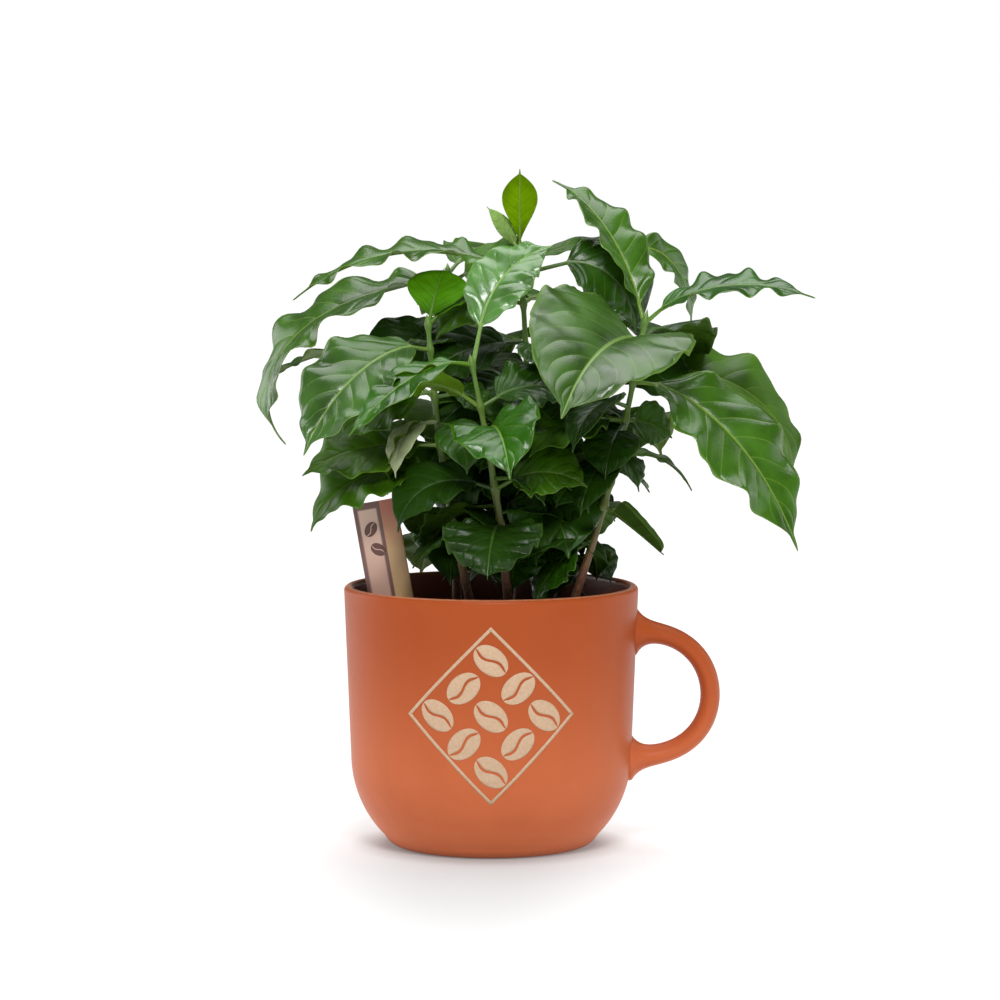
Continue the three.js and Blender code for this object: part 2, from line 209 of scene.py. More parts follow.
def remap(tree, value, low, high, to_low=0.0, to_high=1.0, curve="LINEAR"):
    """A value carried from one range to another and held at its ends."""
    made = put_node(tree, "ShaderNodeMapRange", {"interpolation_type": curve, "clamp": True}, Value=value,
                    From_Min=low, From_Max=high, To_Min=to_low, To_Max=to_high)
    return made.outputs["Result"]


def tinted(tree, factor, first, second):
    """A colour between two, by a factor. Each is a socket, or red, green and blue as seen on a screen."""
    made = put_node(tree, "ShaderNodeMix", {"data_type": "RGBA"})
    colours = [srgb(*colour) if isinstance(colour, tuple) else colour for colour in (first, second)]
    for place, value in zip(MIX_INPUTS, (factor, *colours)):
        fill_socket(tree, made.inputs[place], value)
    return made.outputs[MIX_RESULT]


def object_height(tree):
    """The height of the surface's points, in millimetres."""
    place = put_node(tree, "ShaderNodeTexCoord").outputs["Object"]
    height = put_node(tree, "ShaderNodeSeparateXYZ", Vector=place).outputs["Z"]
    return calc(tree, "DIVIDE", height, MM)


def grain_group():
    """Fine grain of a fired or earthy surface: a noise at two sizes, with a mask of small dark specks."""
    group = bpy.data.node_groups.new("fine grain", "ShaderNodeTree")
    group.interface.new_socket("Scale", in_out="INPUT", socket_type="NodeSocketFloat")
    for label in ("Cloud", "Grain", "Specks"):
        group.interface.new_socket(label, in_out="OUTPUT", socket_type="NodeSocketFloat")
    scale = group.nodes.new("NodeGroupInput").outputs["Scale"]
    place = put_node(group, "ShaderNodeTexCoord").outputs["Object"]
    cloud = put_node(group, "ShaderNodeTexNoise", Vector=place, Detail=3.0,
                     Scale=calc(group, "MULTIPLY", scale, CLOUD_SHARE))
    grain = put_node(group, "ShaderNodeTexNoise", Vector=place, Scale=scale, Detail=4.0, Roughness=0.6)
    cells = put_node(group, "ShaderNodeTexVoronoi", Vector=place,
                     Scale=calc(group, "MULTIPLY", scale, SPECK_SHARE))
    specks = remap(group, cells.outputs["Distance"], *SPECK_SPAN, 1.0, 0.0)
    put_node(group, "NodeGroupOutput", Cloud=cloud.outputs["Fac"], Grain=grain.outputs["Fac"], Specks=specks)
    return group


fine_grain = grain_group()


def put_grain(tree, scale):
    """The fine grain group in a material, at a scale in cells per metre, as its cloud, grain and specks."""
    made = put_node(tree, "ShaderNodeGroup", {"node_tree": fine_grain}, Scale=scale)
    return [made.outputs[label] for label in ("Cloud", "Grain", "Specks")]


def bumped(tree, shader, height, strength, distance):
    """A bump of a height on a shader's normal, its depth in millimetres."""
    bump = put_node(tree, "ShaderNodeBump", Height=height, Strength=strength, Distance=distance * MM)
    fill(tree, shader, Normal=bump.outputs["Normal"])


def mottled_finish(name, scale, first, second, rough, span=GRAIN_SPAN, speckled=None, bump=None):
    """A dull or satin surface mottled between two colours by the fine grain. speckled is the show and the
    colour of specks, and bump is the strength and the depth of a bump."""
    material, tree, shader = new_material(name)
    _, grain, specks = put_grain(tree, scale)
    body = tinted(tree, remap(tree, grain, *span), first, second)
    if speckled:
        body = tinted(tree, calc(tree, "MULTIPLY", specks, speckled[0]), body, speckled[1])
    fill(tree, shader, Base_Color=body, Roughness=rough)
    if bump:
        bumped(tree, shader, grain, *bump)
    return material


def clay_finish():
    """Satin orange slip, paler round the foot, with faint clouds and specks. It is painted redder and darker
    under the lip than low down, as painted shade of the leaves above, and dark where it meets the table, as
    a painted contact shadow."""
    material, tree, shader = new_material("clay_slip")
    height = object_height(tree)
    cloud, grain, specks = put_grain(tree, scale=900.0)
    body = tinted(tree, remap(tree, height, *TOP_SHADE_SPAN, curve="SMOOTHSTEP"), CLAY_LOW, CLAY_SHADED_TOP)
    masks = (remap(tree, cloud, *NOISE_SPAN), remap(tree, height, *FOOT_PALES),
             remap(tree, height, *CONTACT_SHADOW_SPAN), specks)
    for mask, show, colour in zip(masks, CLAY_SHOWS, (CLAY_CLOUD, CLAY_FOOT, CLAY_CONTACT_SHADOW, CLAY_SPECK)):
        body = tinted(tree, calc(tree, "MULTIPLY", mask, show), body, colour)
    rough = remap(tree, grain, *NOISE_SPAN, *CLAY_ROUGH)
    fill(tree, shader, Base_Color=body, Roughness=rough, Specular_IOR_Level=0.12)
    bumped(tree, shader, grain, strength=0.12, distance=0.2)
    return material


def glaze_finish():
    """Dark brown inner glaze: glossy, with slow clouds where it ran thicker."""
    material, tree, shader = new_material("brown_glaze")
    cloud, grain, _ = put_grain(tree, scale=400.0)
    body = tinted(tree, remap(tree, cloud, *NOISE_SPAN), *GLAZE_COLOURS)
    fill(tree, shader, Base_Color=body, Roughness=remap(tree, grain, *NOISE_SPAN, *GLAZE_ROUGH))
    return material


def side_radius(z):
    """Radius of the straight outer side at a height: an even flare from the shoulder to the lip."""
    return SIDE_RADIUS + (RIM_RADIUS - SIDE_RADIUS) * (z - SIDE_START) / (LIP_LEVEL - SIDE_START)


def shoulder_arc(offset, low_angle, count):
    """Points of the shoulder's circle, moved out by an offset, from an angle below level up to level."""
    angle = np.linspace(low_angle, 0, count)
    radius = SHOULDER_RADIUS + offset
    centre = SIDE_RADIUS - SHOULDER_RADIUS
    return np.stack([centre + radius * np.cos(angle), SIDE_START - radius * np.sin(angle)], axis=1)


def mug_profile():
    """Radius and height of the mug's skin: out over the underside, round the foot's edge as a quadratic
    curve, up the shoulder's arc and the straight side, over the lip as half a circle and down inside."""
    across = np.linspace(UNDERSIDE_START, FOOT_RADIUS, UNDERSIDE_ROWS)
    underside = np.stack([across, 0 * across], axis=1)
    shoulder = shoulder_arc(0, SHOULDER_ANGLE, SHOULDER_ROWS)
    share = np.linspace(0, 1, EDGE_ROWS)[1:-1, None]
    edge = ((1 - share) ** 2 * underside[-1] + 2 * share * (1 - share) * np.array(FOOT_EDGE)
            + share ** 2 * shoulder[0])
    level = np.linspace(SIDE_START, LIP_LEVEL, SIDE_ROWS)[1:]
    side = np.stack([side_radius(level), level], axis=1)
    turn = np.linspace(0, math.pi, LIP_ROWS)[1:-1]
    half = WALL / 2
    lip = np.stack([RIM_RADIUS - half + half * np.cos(turn), LIP_LEVEL + half * np.sin(turn)], axis=1)
    inner_low = math.asin((SIDE_START - FLOOR_LEVEL) / (SHOULDER_RADIUS - WALL))
    inner_side = (side - [WALL, 0])[::-1]
    inner = np.concatenate([inner_side, shoulder_arc(-WALL, inner_low, INSIDE_ROWS)[::-1]])
    outer = np.concatenate([underside, edge, shoulder, side])
    return outer, lip, inner


def mug_wall():
    """The profile turned about the axis, with slip, the lip's painted highlight and glaze dealt out by
    profile row.
    """
    outer, lip, inner = mug_profile()
    profile = np.concatenate([outer, lip, inner])
    rings = round_points(profile[:, :1], full_turn(MUG_SEGMENTS), profile[:, 1:])
    row = np.arange(len(profile) - 1)
    lip_start = len(outer) + SLIP_ON_LIP_ROWS
    finish = np.where(row < lip_start, 0, np.where(row < lip_start + HIGHLIGHT_ROWS, 1, 2))
    ends = [np.zeros(MUG_SEGMENTS), np.full(MUG_SEGMENTS, 2)]
    slots = np.concatenate([np.repeat(finish, MUG_SEGMENTS), *ends])
    skin = loft(rings, [0, 0, 0], [0, 0, FLOOR_LEVEL])
    piece = make_piece("mug_wall", *skin, [clay, lip_highlight_clay, glaze_finish()], slots)
    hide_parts("mug_body")


clay = clay_finish()
lip_highlight_clay = mottled_finish("lip_painted_highlight", 700.0, *LIP_HIGHLIGHT_COLOURS, rough=0.32, bump=(0.1, 0.2))
mug_wall()


# Mug handle
# A pulled ear of the same clay, oval in section. Both ends flare out where they were pressed and smoothed on
# to the side, under the same slip.

HANDLE_MIDDLE = 61.5
HANDLE_HALF_HEIGHT = 25.8
HANDLE_ROOT = 57.0
HANDLE_REACH = 32.5
HANDLE_SINK = 3.0
HANDLE_THICKNESS = 8.0
HANDLE_BREADTH = 13.0
HANDLE_FLARE = 11.5
HANDLE_FLARE_LENGTH = 3.2
HANDLE_FULLNESS = 0.75
HANDLE_STEPS = 96
HANDLE_SIDES = 40


def mug_ear():
    """An oval carried round an ear: its reach follows a power of a sine and its height a cosine of the share
    of the sweep. The oval grows by an exponential flare towards both roots, the lower of which starts
    deeper, where the shoulder draws in. Steps crowd towards the roots."""
    level = np.linspace(-1, 1, HANDLE_STEPS + 1)
    from_end = (1 - np.abs(level)) ** 2 / 2
    share = np.where(level < 0, from_end, 1 - from_end)
    bulge = np.sin(math.pi * share).clip(0) ** HANDLE_FULLNESS
    sunk = HANDLE_SINK * share
    centre = np.stack([
        HANDLE_ROOT - sunk + (HANDLE_REACH + sunk) * bulge,
        np.zeros_like(share),
        HANDLE_MIDDLE + HANDLE_HALF_HEIGHT * np.cos(math.pi * share),
    ], axis=1)
    along = np.gradient(centre, axis=0)
    along /= np.linalg.norm(along, axis=1, keepdims=True)
    outward = np.stack([-along[:, 2], np.zeros_like(share), along[:, 0]], axis=1)
    clear = np.maximum(centre[:, 0] - side_radius(centre[:, 2]), 0)
    flare = HANDLE_FLARE * np.exp(-clear / HANDLE_FLARE_LENGTH)
    half_thick = ((HANDLE_THICKNESS + flare) / 2)[:, None, None]
    half_broad = ((HANDLE_BREADTH + flare / 2) / 2)[:, None, None]
    angle = full_turn(HANDLE_SIDES)[None, :, None]
    rings = (centre[:, None] + half_thick * np.sin(angle) * outward[:, None]
             + half_broad * np.cos(angle) * np.array([0, 1, 0]))
    piece = make_piece("mug_ear", *loft(rings, centre[0], centre[-1]), [clay])
    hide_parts("mug_handle")


mug_ear()


# Print on the mug
# A cream screen print on the front of the mug, fired on: plain coffee beans set in a diamond with a thin
# frame. It is a dull film a tenth of a millimetre thick, and the clay shows through it in fine specks.

PRINT_CENTRE = 60.0
PRINT_FILM = 0.12
PRINT_COLOURS = (204, 172, 142), (192, 160, 128)
PRINT_SPECKS = (0.2, (190, 120, 84))
BEAN_LENGTH = 15.5
BEAN_BREADTH = 11.0
BEAN_GROOVE = 1.1
GROOVE_SWAY = 0.24
GROOVE_TAPER = 1.4
BEAN_PITCH = 11.2
BEAN_TURN = math.radians(38)
FRAME_REACH = 36.0
FRAME_LINE = 1.3
FRAME_STEPS = 49
BEAN_STEPS = 36
BEAN_ROWS = 7


def grid_faces(rows, columns, start=0):
    """The quads of a grid of points that lie row by row, first point at start."""
    index = start + np.arange(rows * columns).reshape(rows, columns)
    return np.stack([index[:-1, :-1], index[:-1, 1:], index[1:, 1:], index[1:, :-1]], axis=-1).reshape(-1, 4)


def bean_half(upper):
    """Half a coffee bean in its own plane, from the waved groove out to an ellipse, on a grid. The groove
    narrows to nothing at both ends."""
    along = np.sin(np.linspace(-math.pi / 2, math.pi / 2, BEAN_STEPS))
    rim = BEAN_BREADTH / 2 * np.sqrt(1 - along ** 2)
    groove = GROOVE_SWAY * rim * np.sin(math.pi * along)
    gap = BEAN_GROOVE / 2 * np.minimum(1, rim / (BEAN_BREADTH / 2) * GROOVE_TAPER)
    inner = groove + gap if upper else groove - gap
    outer = np.maximum(rim, inner) if upper else np.minimum(-rim, inner)
    share = np.linspace(0, 1, BEAN_ROWS)[:, None]
    across = inner + (outer - inner) * share
    plane = np.stack([np.broadcast_to(along * BEAN_LENGTH / 2, across.shape), across], axis=-1)
    return plane if upper else plane[::-1]


def on_mug(plane):
    """A flat print laid on the mug's front: across becomes arc length round the side, up becomes length
    along the profile from the print's centre, both a print film's half thickness proud of the clay."""
    outer = mug_profile()[0]
    run = np.concatenate([[0], np.cumsum(np.linalg.norm(np.diff(outer, axis=0), axis=1))])
    length = np.interp(PRINT_CENTRE, outer[:, 1], run) + plane[..., 1]
    radius = np.interp(length, run, outer[:, 0]) + PRINT_FILM / 2
    height = np.interp(length, run, outer[:, 1])
    angle = plane[..., 0] / RIM_RADIUS
    return np.stack([radius * np.sin(angle), -radius * np.cos(angle), height], axis=-1)


def turned_plane(plane, angle, shift):
    """A flat pattern turned by an angle and shifted."""
    x, y = plane[..., 0], plane[..., 1]
    return np.stack([x * math.cos(angle) - y * math.sin(angle) + shift[0],
                     x * math.sin(angle) + y * math.cos(angle) + shift[1]], axis=-1)


def film_piece(name, patches, material, thickness):
    """Patches of a printed film, each a grid of points, as one piece with a film's thickness."""
    points, quads, start = [], [], 0
    for patch in patches:
        rows, columns, _ = patch.shape
        points.append(patch.reshape(-1, 3))
        quads.append(grid_faces(rows, columns, start))
        start += rows * columns
    fans = np.zeros((0, 3), dtype=int)
    piece = make_piece(name, np.concatenate(points), np.concatenate(quads), fans, [material])
    film = piece.modifiers.new("film", "SOLIDIFY")
    film.thickness = thickness * MM
    film.offset = 0.0
    return piece


def mug_print():
    """Beans at the crossings of a diamond lattice, turned to and fro, and four lines of a diamond frame."""
    patches = []
    for i in (-1, 0, 1):
        for j in (-1, 0, 1):
            shift = ((i - j) * BEAN_PITCH, (i + j) * BEAN_PITCH)
            angle = BEAN_TURN if (i + j) % 2 else math.pi - BEAN_TURN
            for upper in (True, False):
                patches.append(on_mug(turned_plane(bean_half(upper), angle, shift)))
    half_side = FRAME_REACH / math.sqrt(2)
    along = np.linspace(-half_side, half_side, FRAME_STEPS)
    x, y = np.meshgrid(along, half_side + np.array([-FRAME_LINE, 0]))
    line = np.stack([x * y / half_side, y], axis=-1)
    for quarter in range(4):
        patches.append(on_mug(turned_plane(line, math.pi / 4 + quarter * math.pi / 2, (0, 0))))
    cream = mottled_finish("cream_print", 900.0, *PRINT_COLOURS, rough=0.55, speckled=PRINT_SPECKS)
    piece = film_piece("mug_print", patches, cream, PRINT_FILM)


mug_print()


# Potting soil
# Dark, peaty soil, near black where damp and brown where it has dried. It fills the mug to well under its
# rim, is uneven on top, and has loose crumbs lying on it.

SOIL_LEVEL = 90.0
SOIL_DEPTH = 12.0
SOIL_CLEAR = 0.3
SOIL_RADIUS = side_radius(SOIL_LEVEL) - WALL - SOIL_CLEAR
SOIL_EYE = 0.6
SOIL_RINGS = 56
SOIL_SIDES = 144
SOIL_SEED = 11
LUMP_HEIGHT = 0.9
LUMP_LENGTH = (3.0, 26.0)
LUMP_WAVES = 40
PEAT_COLOURS = (30, 20, 14), (72, 50, 36)
CRUMB_COUNT = 520
CRUMB_SIZE = (0.5, 1.7)
CRUMB_SQUASH = (0.6, 1.2)
CRUMB_ROUGH = (0.75, 1.2)
CRUMB_LIFT = 0.3
CRUMB_FROM_WALL = 2.0
CRUMB_RINGS = 3
CRUMB_SIDES = 6
CRUMB_SEED = 23


def on_soil(radius, angle):
    """Points of the soil's top at a radius and an angle: its level, with lumps as a sum of seeded plane
    waves of several lengths."""
    x, y = radius * np.cos(angle), radius * np.sin(angle)
    draw = np.random.RandomState(SOIL_SEED)
    turn = draw.uniform(0, math.tau, LUMP_WAVES)
    pitch = math.tau / draw.uniform(*LUMP_LENGTH, LUMP_WAVES)
    start = draw.uniform(0, math.tau, LUMP_WAVES)
    phase = pitch * (x[..., None] * np.cos(turn) + y[..., None] * np.sin(turn)) + start
    z = SOIL_LEVEL + LUMP_HEIGHT * np.sin(phase).sum(-1) / math.sqrt(LUMP_WAVES)
    return np.stack([x, y, z], axis=-1)


def soil_top():
    """A round body: from its hidden underside out to the wall, up, and in over the lumpy top."""
    top = on_soil(np.linspace(SOIL_RADIUS, SOIL_EYE, SOIL_RINGS)[:, None], full_turn(SOIL_SIDES))
    low = [0, 0, SOIL_LEVEL - SOIL_DEPTH]
    foot = top[:1] * [1, 1, 0] + low
    piece = make_piece("soil_top", *loft(np.concatenate([foot, top]), low, top[-1].mean(0)), [peat])
    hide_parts("potting_soil")


def soil_crumbs():
    """Loose crumbs: a coarse round lump at seeded places, each squashed and roughened its own way."""
    draw = np.random.RandomState(CRUMB_SEED)
    polar = np.linspace(0, math.pi, CRUMB_RINGS + 2)[1:-1, None]
    lump = round_points(np.sin(polar), full_turn(CRUMB_SIDES), -np.cos(polar))
    base, quads, fans = loft(lump, [0, 0, -1], [0, 0, 1])
    reach = (SOIL_RADIUS - CRUMB_FROM_WALL) * np.sqrt(draw.uniform(0, 1, CRUMB_COUNT))
    turn = draw.uniform(0, math.tau, CRUMB_COUNT)
    size = CRUMB_SIZE[0] + (CRUMB_SIZE[1] - CRUMB_SIZE[0]) * draw.uniform(0, 1, CRUMB_COUNT) ** 3
    squash = draw.uniform(*CRUMB_SQUASH, (CRUMB_COUNT, 1, 3)) * size[:, None, None]
    rough = draw.uniform(*CRUMB_ROUGH, (CRUMB_COUNT, len(base), 1))
    centre = on_soil(reach, turn)
    centre[:, 2] += CRUMB_LIFT * size
    points = (base * squash * rough + centre[:, None]).reshape(-1, 3)
    step = (np.arange(CRUMB_COUNT) * len(base))[:, None, None]
    all_quads = (quads + step).reshape(-1, 4)
    all_fans = (fans + step).reshape(-1, 3)
    piece = make_piece("soil_crumbs", points, all_quads, all_fans, [peat])


peat = mottled_finish("peat", 1400.0, *PEAT_COLOURS, rough=0.95, span=(0.35, 0.7), bump=(0.9, 1.2))
soil_top()
soil_crumbs()


# Plant card
# A printed card stuck into the soil at the left: a dark mauve-brown panel with a rose-beige field, and a tan
# strip down its right side. A pair of plain beans is printed on the field.

CARD_WIDTH = 18.0
CARD_THICKNESS = 0.5
CARD_LENGTH = 70.0
CARD_CENTRE = np.array([-41.4, -10.0, 107.0])
CARD_LEAN = math.radians(-10)
CARD_CORNER = 1.4
CORNER_ROWS = 7
CORNER_START = 0.9
CARD_BOW = 0.7
CARD_ROWS = 60
CARD_COLUMNS = 24
FIELD_LEFT = (0.08, 0.12)
FIELD_RIGHT = (0.54, 0.5)
FIELD_TOP = (0.965, 0.955)
FIELD_FADE = (0.6, 1.0)
STRIP_LEFT = (0.6, 0.615)
STRIP_FADE = (0.7, 0.95)
SCUFF_SPAN = (0.4, 0.8)
SCUFF_SHOW = 0.25
FIELD_COLOURS = (206, 166, 148), (232, 200, 182)
PANEL_COLOUR = (112, 78, 72)
STRIP_COLOURS = (206, 168, 120), (196, 116, 96)
SCUFF_COLOUR = (120, 92, 80)
CARD_BEAN_COLOURS = (84, 52, 44), (104, 66, 54)
CARD_BEAN_SCALE = 0.42
CARD_BEANS = ((-3.2, 24.0, 0.9), (-1.6, 15.5, -0.7))


def pattern_places(tree):
    """The two places of a surface's points on its pattern, from its UV map."""
    pattern = put_node(tree, "ShaderNodeUVMap", {"uv_map": "UVMap"}).outputs["UV"]
    parts = put_node(tree, "ShaderNodeSeparateXYZ", Vector=pattern)
    return parts.outputs["X"], parts.outputs["Y"]


def card_finish():
    """Satin card: flat fields of colour laid out across and along it, a little scuffed."""
    material, tree, shader = new_material("printed_card")
    across, along = pattern_places(tree)
    cloud, _, _ = put_grain(tree, scale=500.0)
    inside = calc(tree, "MULTIPLY", remap(tree, across, *FIELD_LEFT), remap(tree, across, *FIELD_RIGHT))
    inside = calc(tree, "MULTIPLY", inside, remap(tree, along, *FIELD_TOP))
    field = tinted(tree, remap(tree, along, *FIELD_FADE), *FIELD_COLOURS)
    panel = tinted(tree, inside, PANEL_COLOUR, field)
    strip = tinted(tree, remap(tree, along, *STRIP_FADE), *STRIP_COLOURS)
    body = tinted(tree, remap(tree, across, *STRIP_LEFT), panel, strip)
    body = tinted(tree, remap(tree, cloud, *SCUFF_SPAN, 0.0, SCUFF_SHOW), body, SCUFF_COLOUR)
    fill(tree, shader, Base_Color=body, Roughness=0.38)
    return material


def on_card(across, along, proud):
    """A point of the card's front at a place across and along it: the card is bowed a little about its
    length and leans over sideways in its own plane."""
    bow = CARD_BOW * (1 - (2 * across / CARD_WIDTH) ** 2)
    x = across * math.cos(CARD_LEAN) + along * math.sin(CARD_LEAN)
    z = -across * math.sin(CARD_LEAN) + along * math.cos(CARD_LEAN)
    return CARD_CENTRE + np.stack([x, -bow - proud, z], axis=-1)


def both_faces(front, back):
    """Values in rows over one face of a sheet and back over the other."""
    return np.concatenate([front, back[:, ::-1]], axis=1)


def card_sheet():
    """A thin sheet as a loft from its lower to its upper end. Each ring runs over the front and back again,
    and the last rows draw in as a quarter circle for the rounded corners."""
    along = np.linspace(-CARD_LENGTH / 2, CARD_LENGTH / 2, CARD_ROWS)
    corner = along[-1] - CARD_CORNER * np.linspace(CORNER_START, 0, CORNER_ROWS) ** 2
    along = np.sort(np.concatenate([along[:-1], corner]))
    into = np.clip((along - CARD_LENGTH / 2 + CARD_CORNER) / CARD_CORNER, 0, 1)
    half = CARD_WIDTH / 2 - CARD_CORNER * (1 - np.sqrt(1 - into ** 2))
    across = half[:, None] * np.linspace(-1, 1, CARD_COLUMNS)
    lengthwise = np.broadcast_to(along[:, None], across.shape)
    front = on_card(across, lengthwise, CARD_THICKNESS / 2)
    back = on_card(across, lengthwise, -CARD_THICKNESS / 2)
    ends = [on_card(np.array(0.0), np.array(end), 0.0) for end in (along[0], along[-1])]
    u = 0.5 + both_faces(across, across) / CARD_WIDTH
    v = np.broadcast_to((along / CARD_LENGTH + 0.5)[:, None], u.shape)
    uv = np.concatenate([np.stack([u, v], axis=-1).reshape(-1, 2), [[0.5, 0], [0.5, 1]]])
    piece = make_piece("card_sheet", *loft(both_faces(front, back), *ends), [card_finish()], uv=uv)
    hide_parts("plant_card")


def card_print():
    """Two plain beans in dark brown on the card's field."""
    patches = []
    for across, along, angle in CARD_BEANS:
        for upper in (True, False):
            plane = turned_plane(bean_half(upper) * CARD_BEAN_SCALE, angle, (across, along))
            patches.append(on_card(plane[..., 0], plane[..., 1], CARD_THICKNESS / 2 + PRINT_FILM / 2))
    brown = mottled_finish("brown_print", 700.0, *CARD_BEAN_COLOURS, rough=0.4, span=(0.0, 1.0))
    piece = film_piece("card_print", patches, brown, PRINT_FILM)


card_sheet()
card_print()


# Seedlings
# Each seedling is one stem with opposite pairs of leaves, from its foot in the soil to its bud. A leaf is
# told by where it points (0 is +X, 90 is +Y), its rise at the stalk, how far it bends down by its tip, its
# length and width and its roll about the midrib, with angles in degrees, and by its age and growth.

LEAF_FOLD = 0.2
STALK_LENGTH = 7.0
WAVE_COUNT = 3.5

# fold is the slope up from the midrib, bend is above 1 where a leaf bends more towards its tip, wavy is the
# height of its margin's waves as a share of the usual one, and waves is how many there are
Leaf = namedtuple("Leaf", "turn rise droop length width roll age stalk fold bend wavy waves",
                  defaults=(0.0, "old", STALK_LENGTH, LEAF_FOLD, 1.0, 1.0, WAVE_COUNT))
Seedling = namedtuple("Seedling", "foot tip bow pairs")

SEEDLINGS = {
    "tall": Seedling(foot=(10, 8), tip=(11.5, 6, 244), bow=(4, 0), pairs=[
        (242, Leaf(-90, 86, 4, 31, 14.5, 0, "bud", 3, wavy=0.3),
         Leaf(165, 62, 20, 20, 7, -60, "sprout", 3, wavy=0.3)),
        (233, Leaf(181, 23, 64, 92, 30, -10, "ripe", wavy=1.2, waves=4.6),
         Leaf(-8, 14, 105, 46, 34, 50, stalk=18, bend=0.8)),
        (221, Leaf(196, 10, 75, 37, 26, -28, "leafy", 6), Leaf(65, 14, 70, 56, 30, age="ripe")),
        (203, Leaf(112, 16, 70, 56, 34, age="ripe"), Leaf(300, 5, 80, 26, 30)),
        (184, Leaf(-92, 0, 80, 22, 20), Leaf(125, 15, 70, 40, 32)),
        (164, Leaf(215, 5, 85, 22, 22, -35), Leaf(-28, 5, 80, 20, 20, 30)),
        (144, Leaf(-62, -4, 72, 40, 42, 10), Leaf(112, 10, 75, 22, 22)),
        (122, Leaf(-100, -10, 60, 26, 26), Leaf(13, -10, 60, 26, 27, 30)),
    ]),
    "left": Seedling(foot=(-6, -12), tip=(-25.5, -14, 215), bow=(-3, 0), pairs=[
        (213, Leaf(70, 58, 16, 25, 25, 10, "young", 4, wavy=0.2), Leaf(40, 40, 40, 22, 11, 0, "young", 4)),
        (203, Leaf(215, 10, 74, 71, 43, -22, "sheen_grey", bend=0.55, wavy=0.8), Leaf(88, 14, 65, 20, 20)),
        (184, Leaf(166, 36, 108, 29, 22, -20, "pale"), Leaf(-5, 10, 80, 18, 20, 30)),
        (164.5, Leaf(183, 2, 40, 51, 38, -34, "pale", bend=1.4), Leaf(80, 10, 70, 22, 20)),
        (150, Leaf(185, 16, 89, 58, 38, -28, "leafy", bend=1.15), Leaf(25, 0, 80, 26, 24, 30)),
        (130, Leaf(236, -18, 16, 25, 20, 25, "shade"), Leaf(60, 0, 60, 16, 16)),
    ]),
    "centre": Seedling(foot=(8, -22), tip=(-8, -30, 200), bow=(2, 0), pairs=[
        (198, Leaf(36, 76, 70, 52, 27, 34, "bright", 15, wavy=0.8, waves=5),
         Leaf(215, 8, 54, 60, 21, -12, "fresh", bend=0.5, wavy=0.8)),
        (181, Leaf(190, 36, 96, 50, 26, 25, "pale"), Leaf(15, 30, 60, 36, 36, 25)),
        (170, Leaf(-78, 22, 86, 50, 36, 22, "fresh", 4, 0.35), Leaf(110, 15, 65, 18, 16)),
        (148, Leaf(-20, 28, 62, 34, 32, 35, "leafy"), Leaf(197, 17, 103, 44, 28, -30, "shade", bend=1.2)),
        (133, Leaf(-98, 0, 66, 36, 40, 0, "round", wavy=1.2, waves=6), Leaf(95, 5, 65, 16, 14)),
    ]),
    "right": Seedling(foot=(30, -10), tip=(62.5, -12, 217), bow=(3, 0), pairs=[
        (214, Leaf(135, 69, 52, 73, 26, 0, "ripe", fold=0.4, bend=1.2, wavy=1.0, waves=4.6),
         Leaf(-8, 41, 61, 66, 28, 16, "fresh", bend=0.7, wavy=1.0, waves=4.3)),
        (207, Leaf(244, 6, 56, 78, 66, -21, "broad", 6, 0.36, wavy=0.5), Leaf(70, 15, 65, 70, 38)),
        (190, Leaf(-19, -5, 65, 94, 44, 30, "ripe", bend=0.55), Leaf(130, 15, 65, 40, 32)),
        (174.5, Leaf(205, 4, 60, 40, 36, -16, "leafy", bend=1.3),
         Leaf(12, -5, 40, 18, 26, 42, "leafy", 3, wavy=0.1)),
        (149, Leaf(-7, 100, 165, 43, 16, -14, "old", 4, bend=0.5), Leaf(195, 5, 80, 20, 20, -35)),
        (139.5, Leaf(-12, -36, 6, 28, 8, 0, "rolled", 3, 1.25, wavy=0.2), Leaf(110, -15, 55, 30, 26)),
    ]),
    "rear_left": Seedling(foot=(-14, 22), tip=(-18, 34, 234), bow=(0, 4), pairs=[
        (232, Leaf(181, -14, 123, 112, 42, -16, "ripe", bend=2.3, wavy=1.1, waves=4),
         Leaf(60, 30, 65, 60, 32, age="leafy")),
        (212, Leaf(85, 20, 70, 64, 34, age="ripe"), Leaf(258, 10, 75, 22, 22, 0, "shade", wavy=0.3)),
        (192, Leaf(163, 22, 58, 80, 32, age="leafy"), Leaf(38, 10, 65, 36, 30, -20)),
        (172, Leaf(100, 15, 70, 60, 34, age="ripe"), Leaf(300, 5, 80, 22, 24)),
        (150, Leaf(168, 12, 48, 44, 34, 30), Leaf(5, 8, 75, 20, 22, -25)),
        (124, Leaf(110, 0, 60, 44, 32), Leaf(230, 10, 60, 17, 18)),
        (111, Leaf(150, 20, 45, 16, 14), Leaf(-20, -8, 50, 14, 18, -20)),
    ]),
    "rear_right": Seedling(foot=(26, 24), tip=(54, 34, 240), bow=(2, 2), pairs=[
        (238, Leaf(34, 30, 125, 52, 21, 50, "ripe", bend=0.6), Leaf(175, 25, 65, 32, 22, age="fresh")),
        (214, Leaf(92, 20, 70, 64, 34, age="ripe"), Leaf(262, 5, 75, 16, 16)),
        (192, Leaf(5, 3, 104, 100, 42, 32, "pale", bend=1.7), Leaf(165, 15, 65, 32, 30)),
        (170, Leaf(62, 15, 70, 64, 34, age="leafy"), Leaf(270, 10, 80, 21, 20)),
        (150, Leaf(40, 10, 65, 32, 28, 25, wavy=0.2), Leaf(125, 10, 75, 46, 32)),
        (124, Leaf(-15, -40, 30, 18, 24, 20, "shade", wavy=0.3), Leaf(195, -5, 60, 26, 24)),
        (111, Leaf(40, -5, 30, 16, 16), Leaf(252, -5, 50, 22, 18)),
    ]),
}


# Stems
# Green, faintly ridged stems that turn brown and woody towards the soil, with a root flare, a swelling at
# each pair of leaves and a pointed bud at the tip.

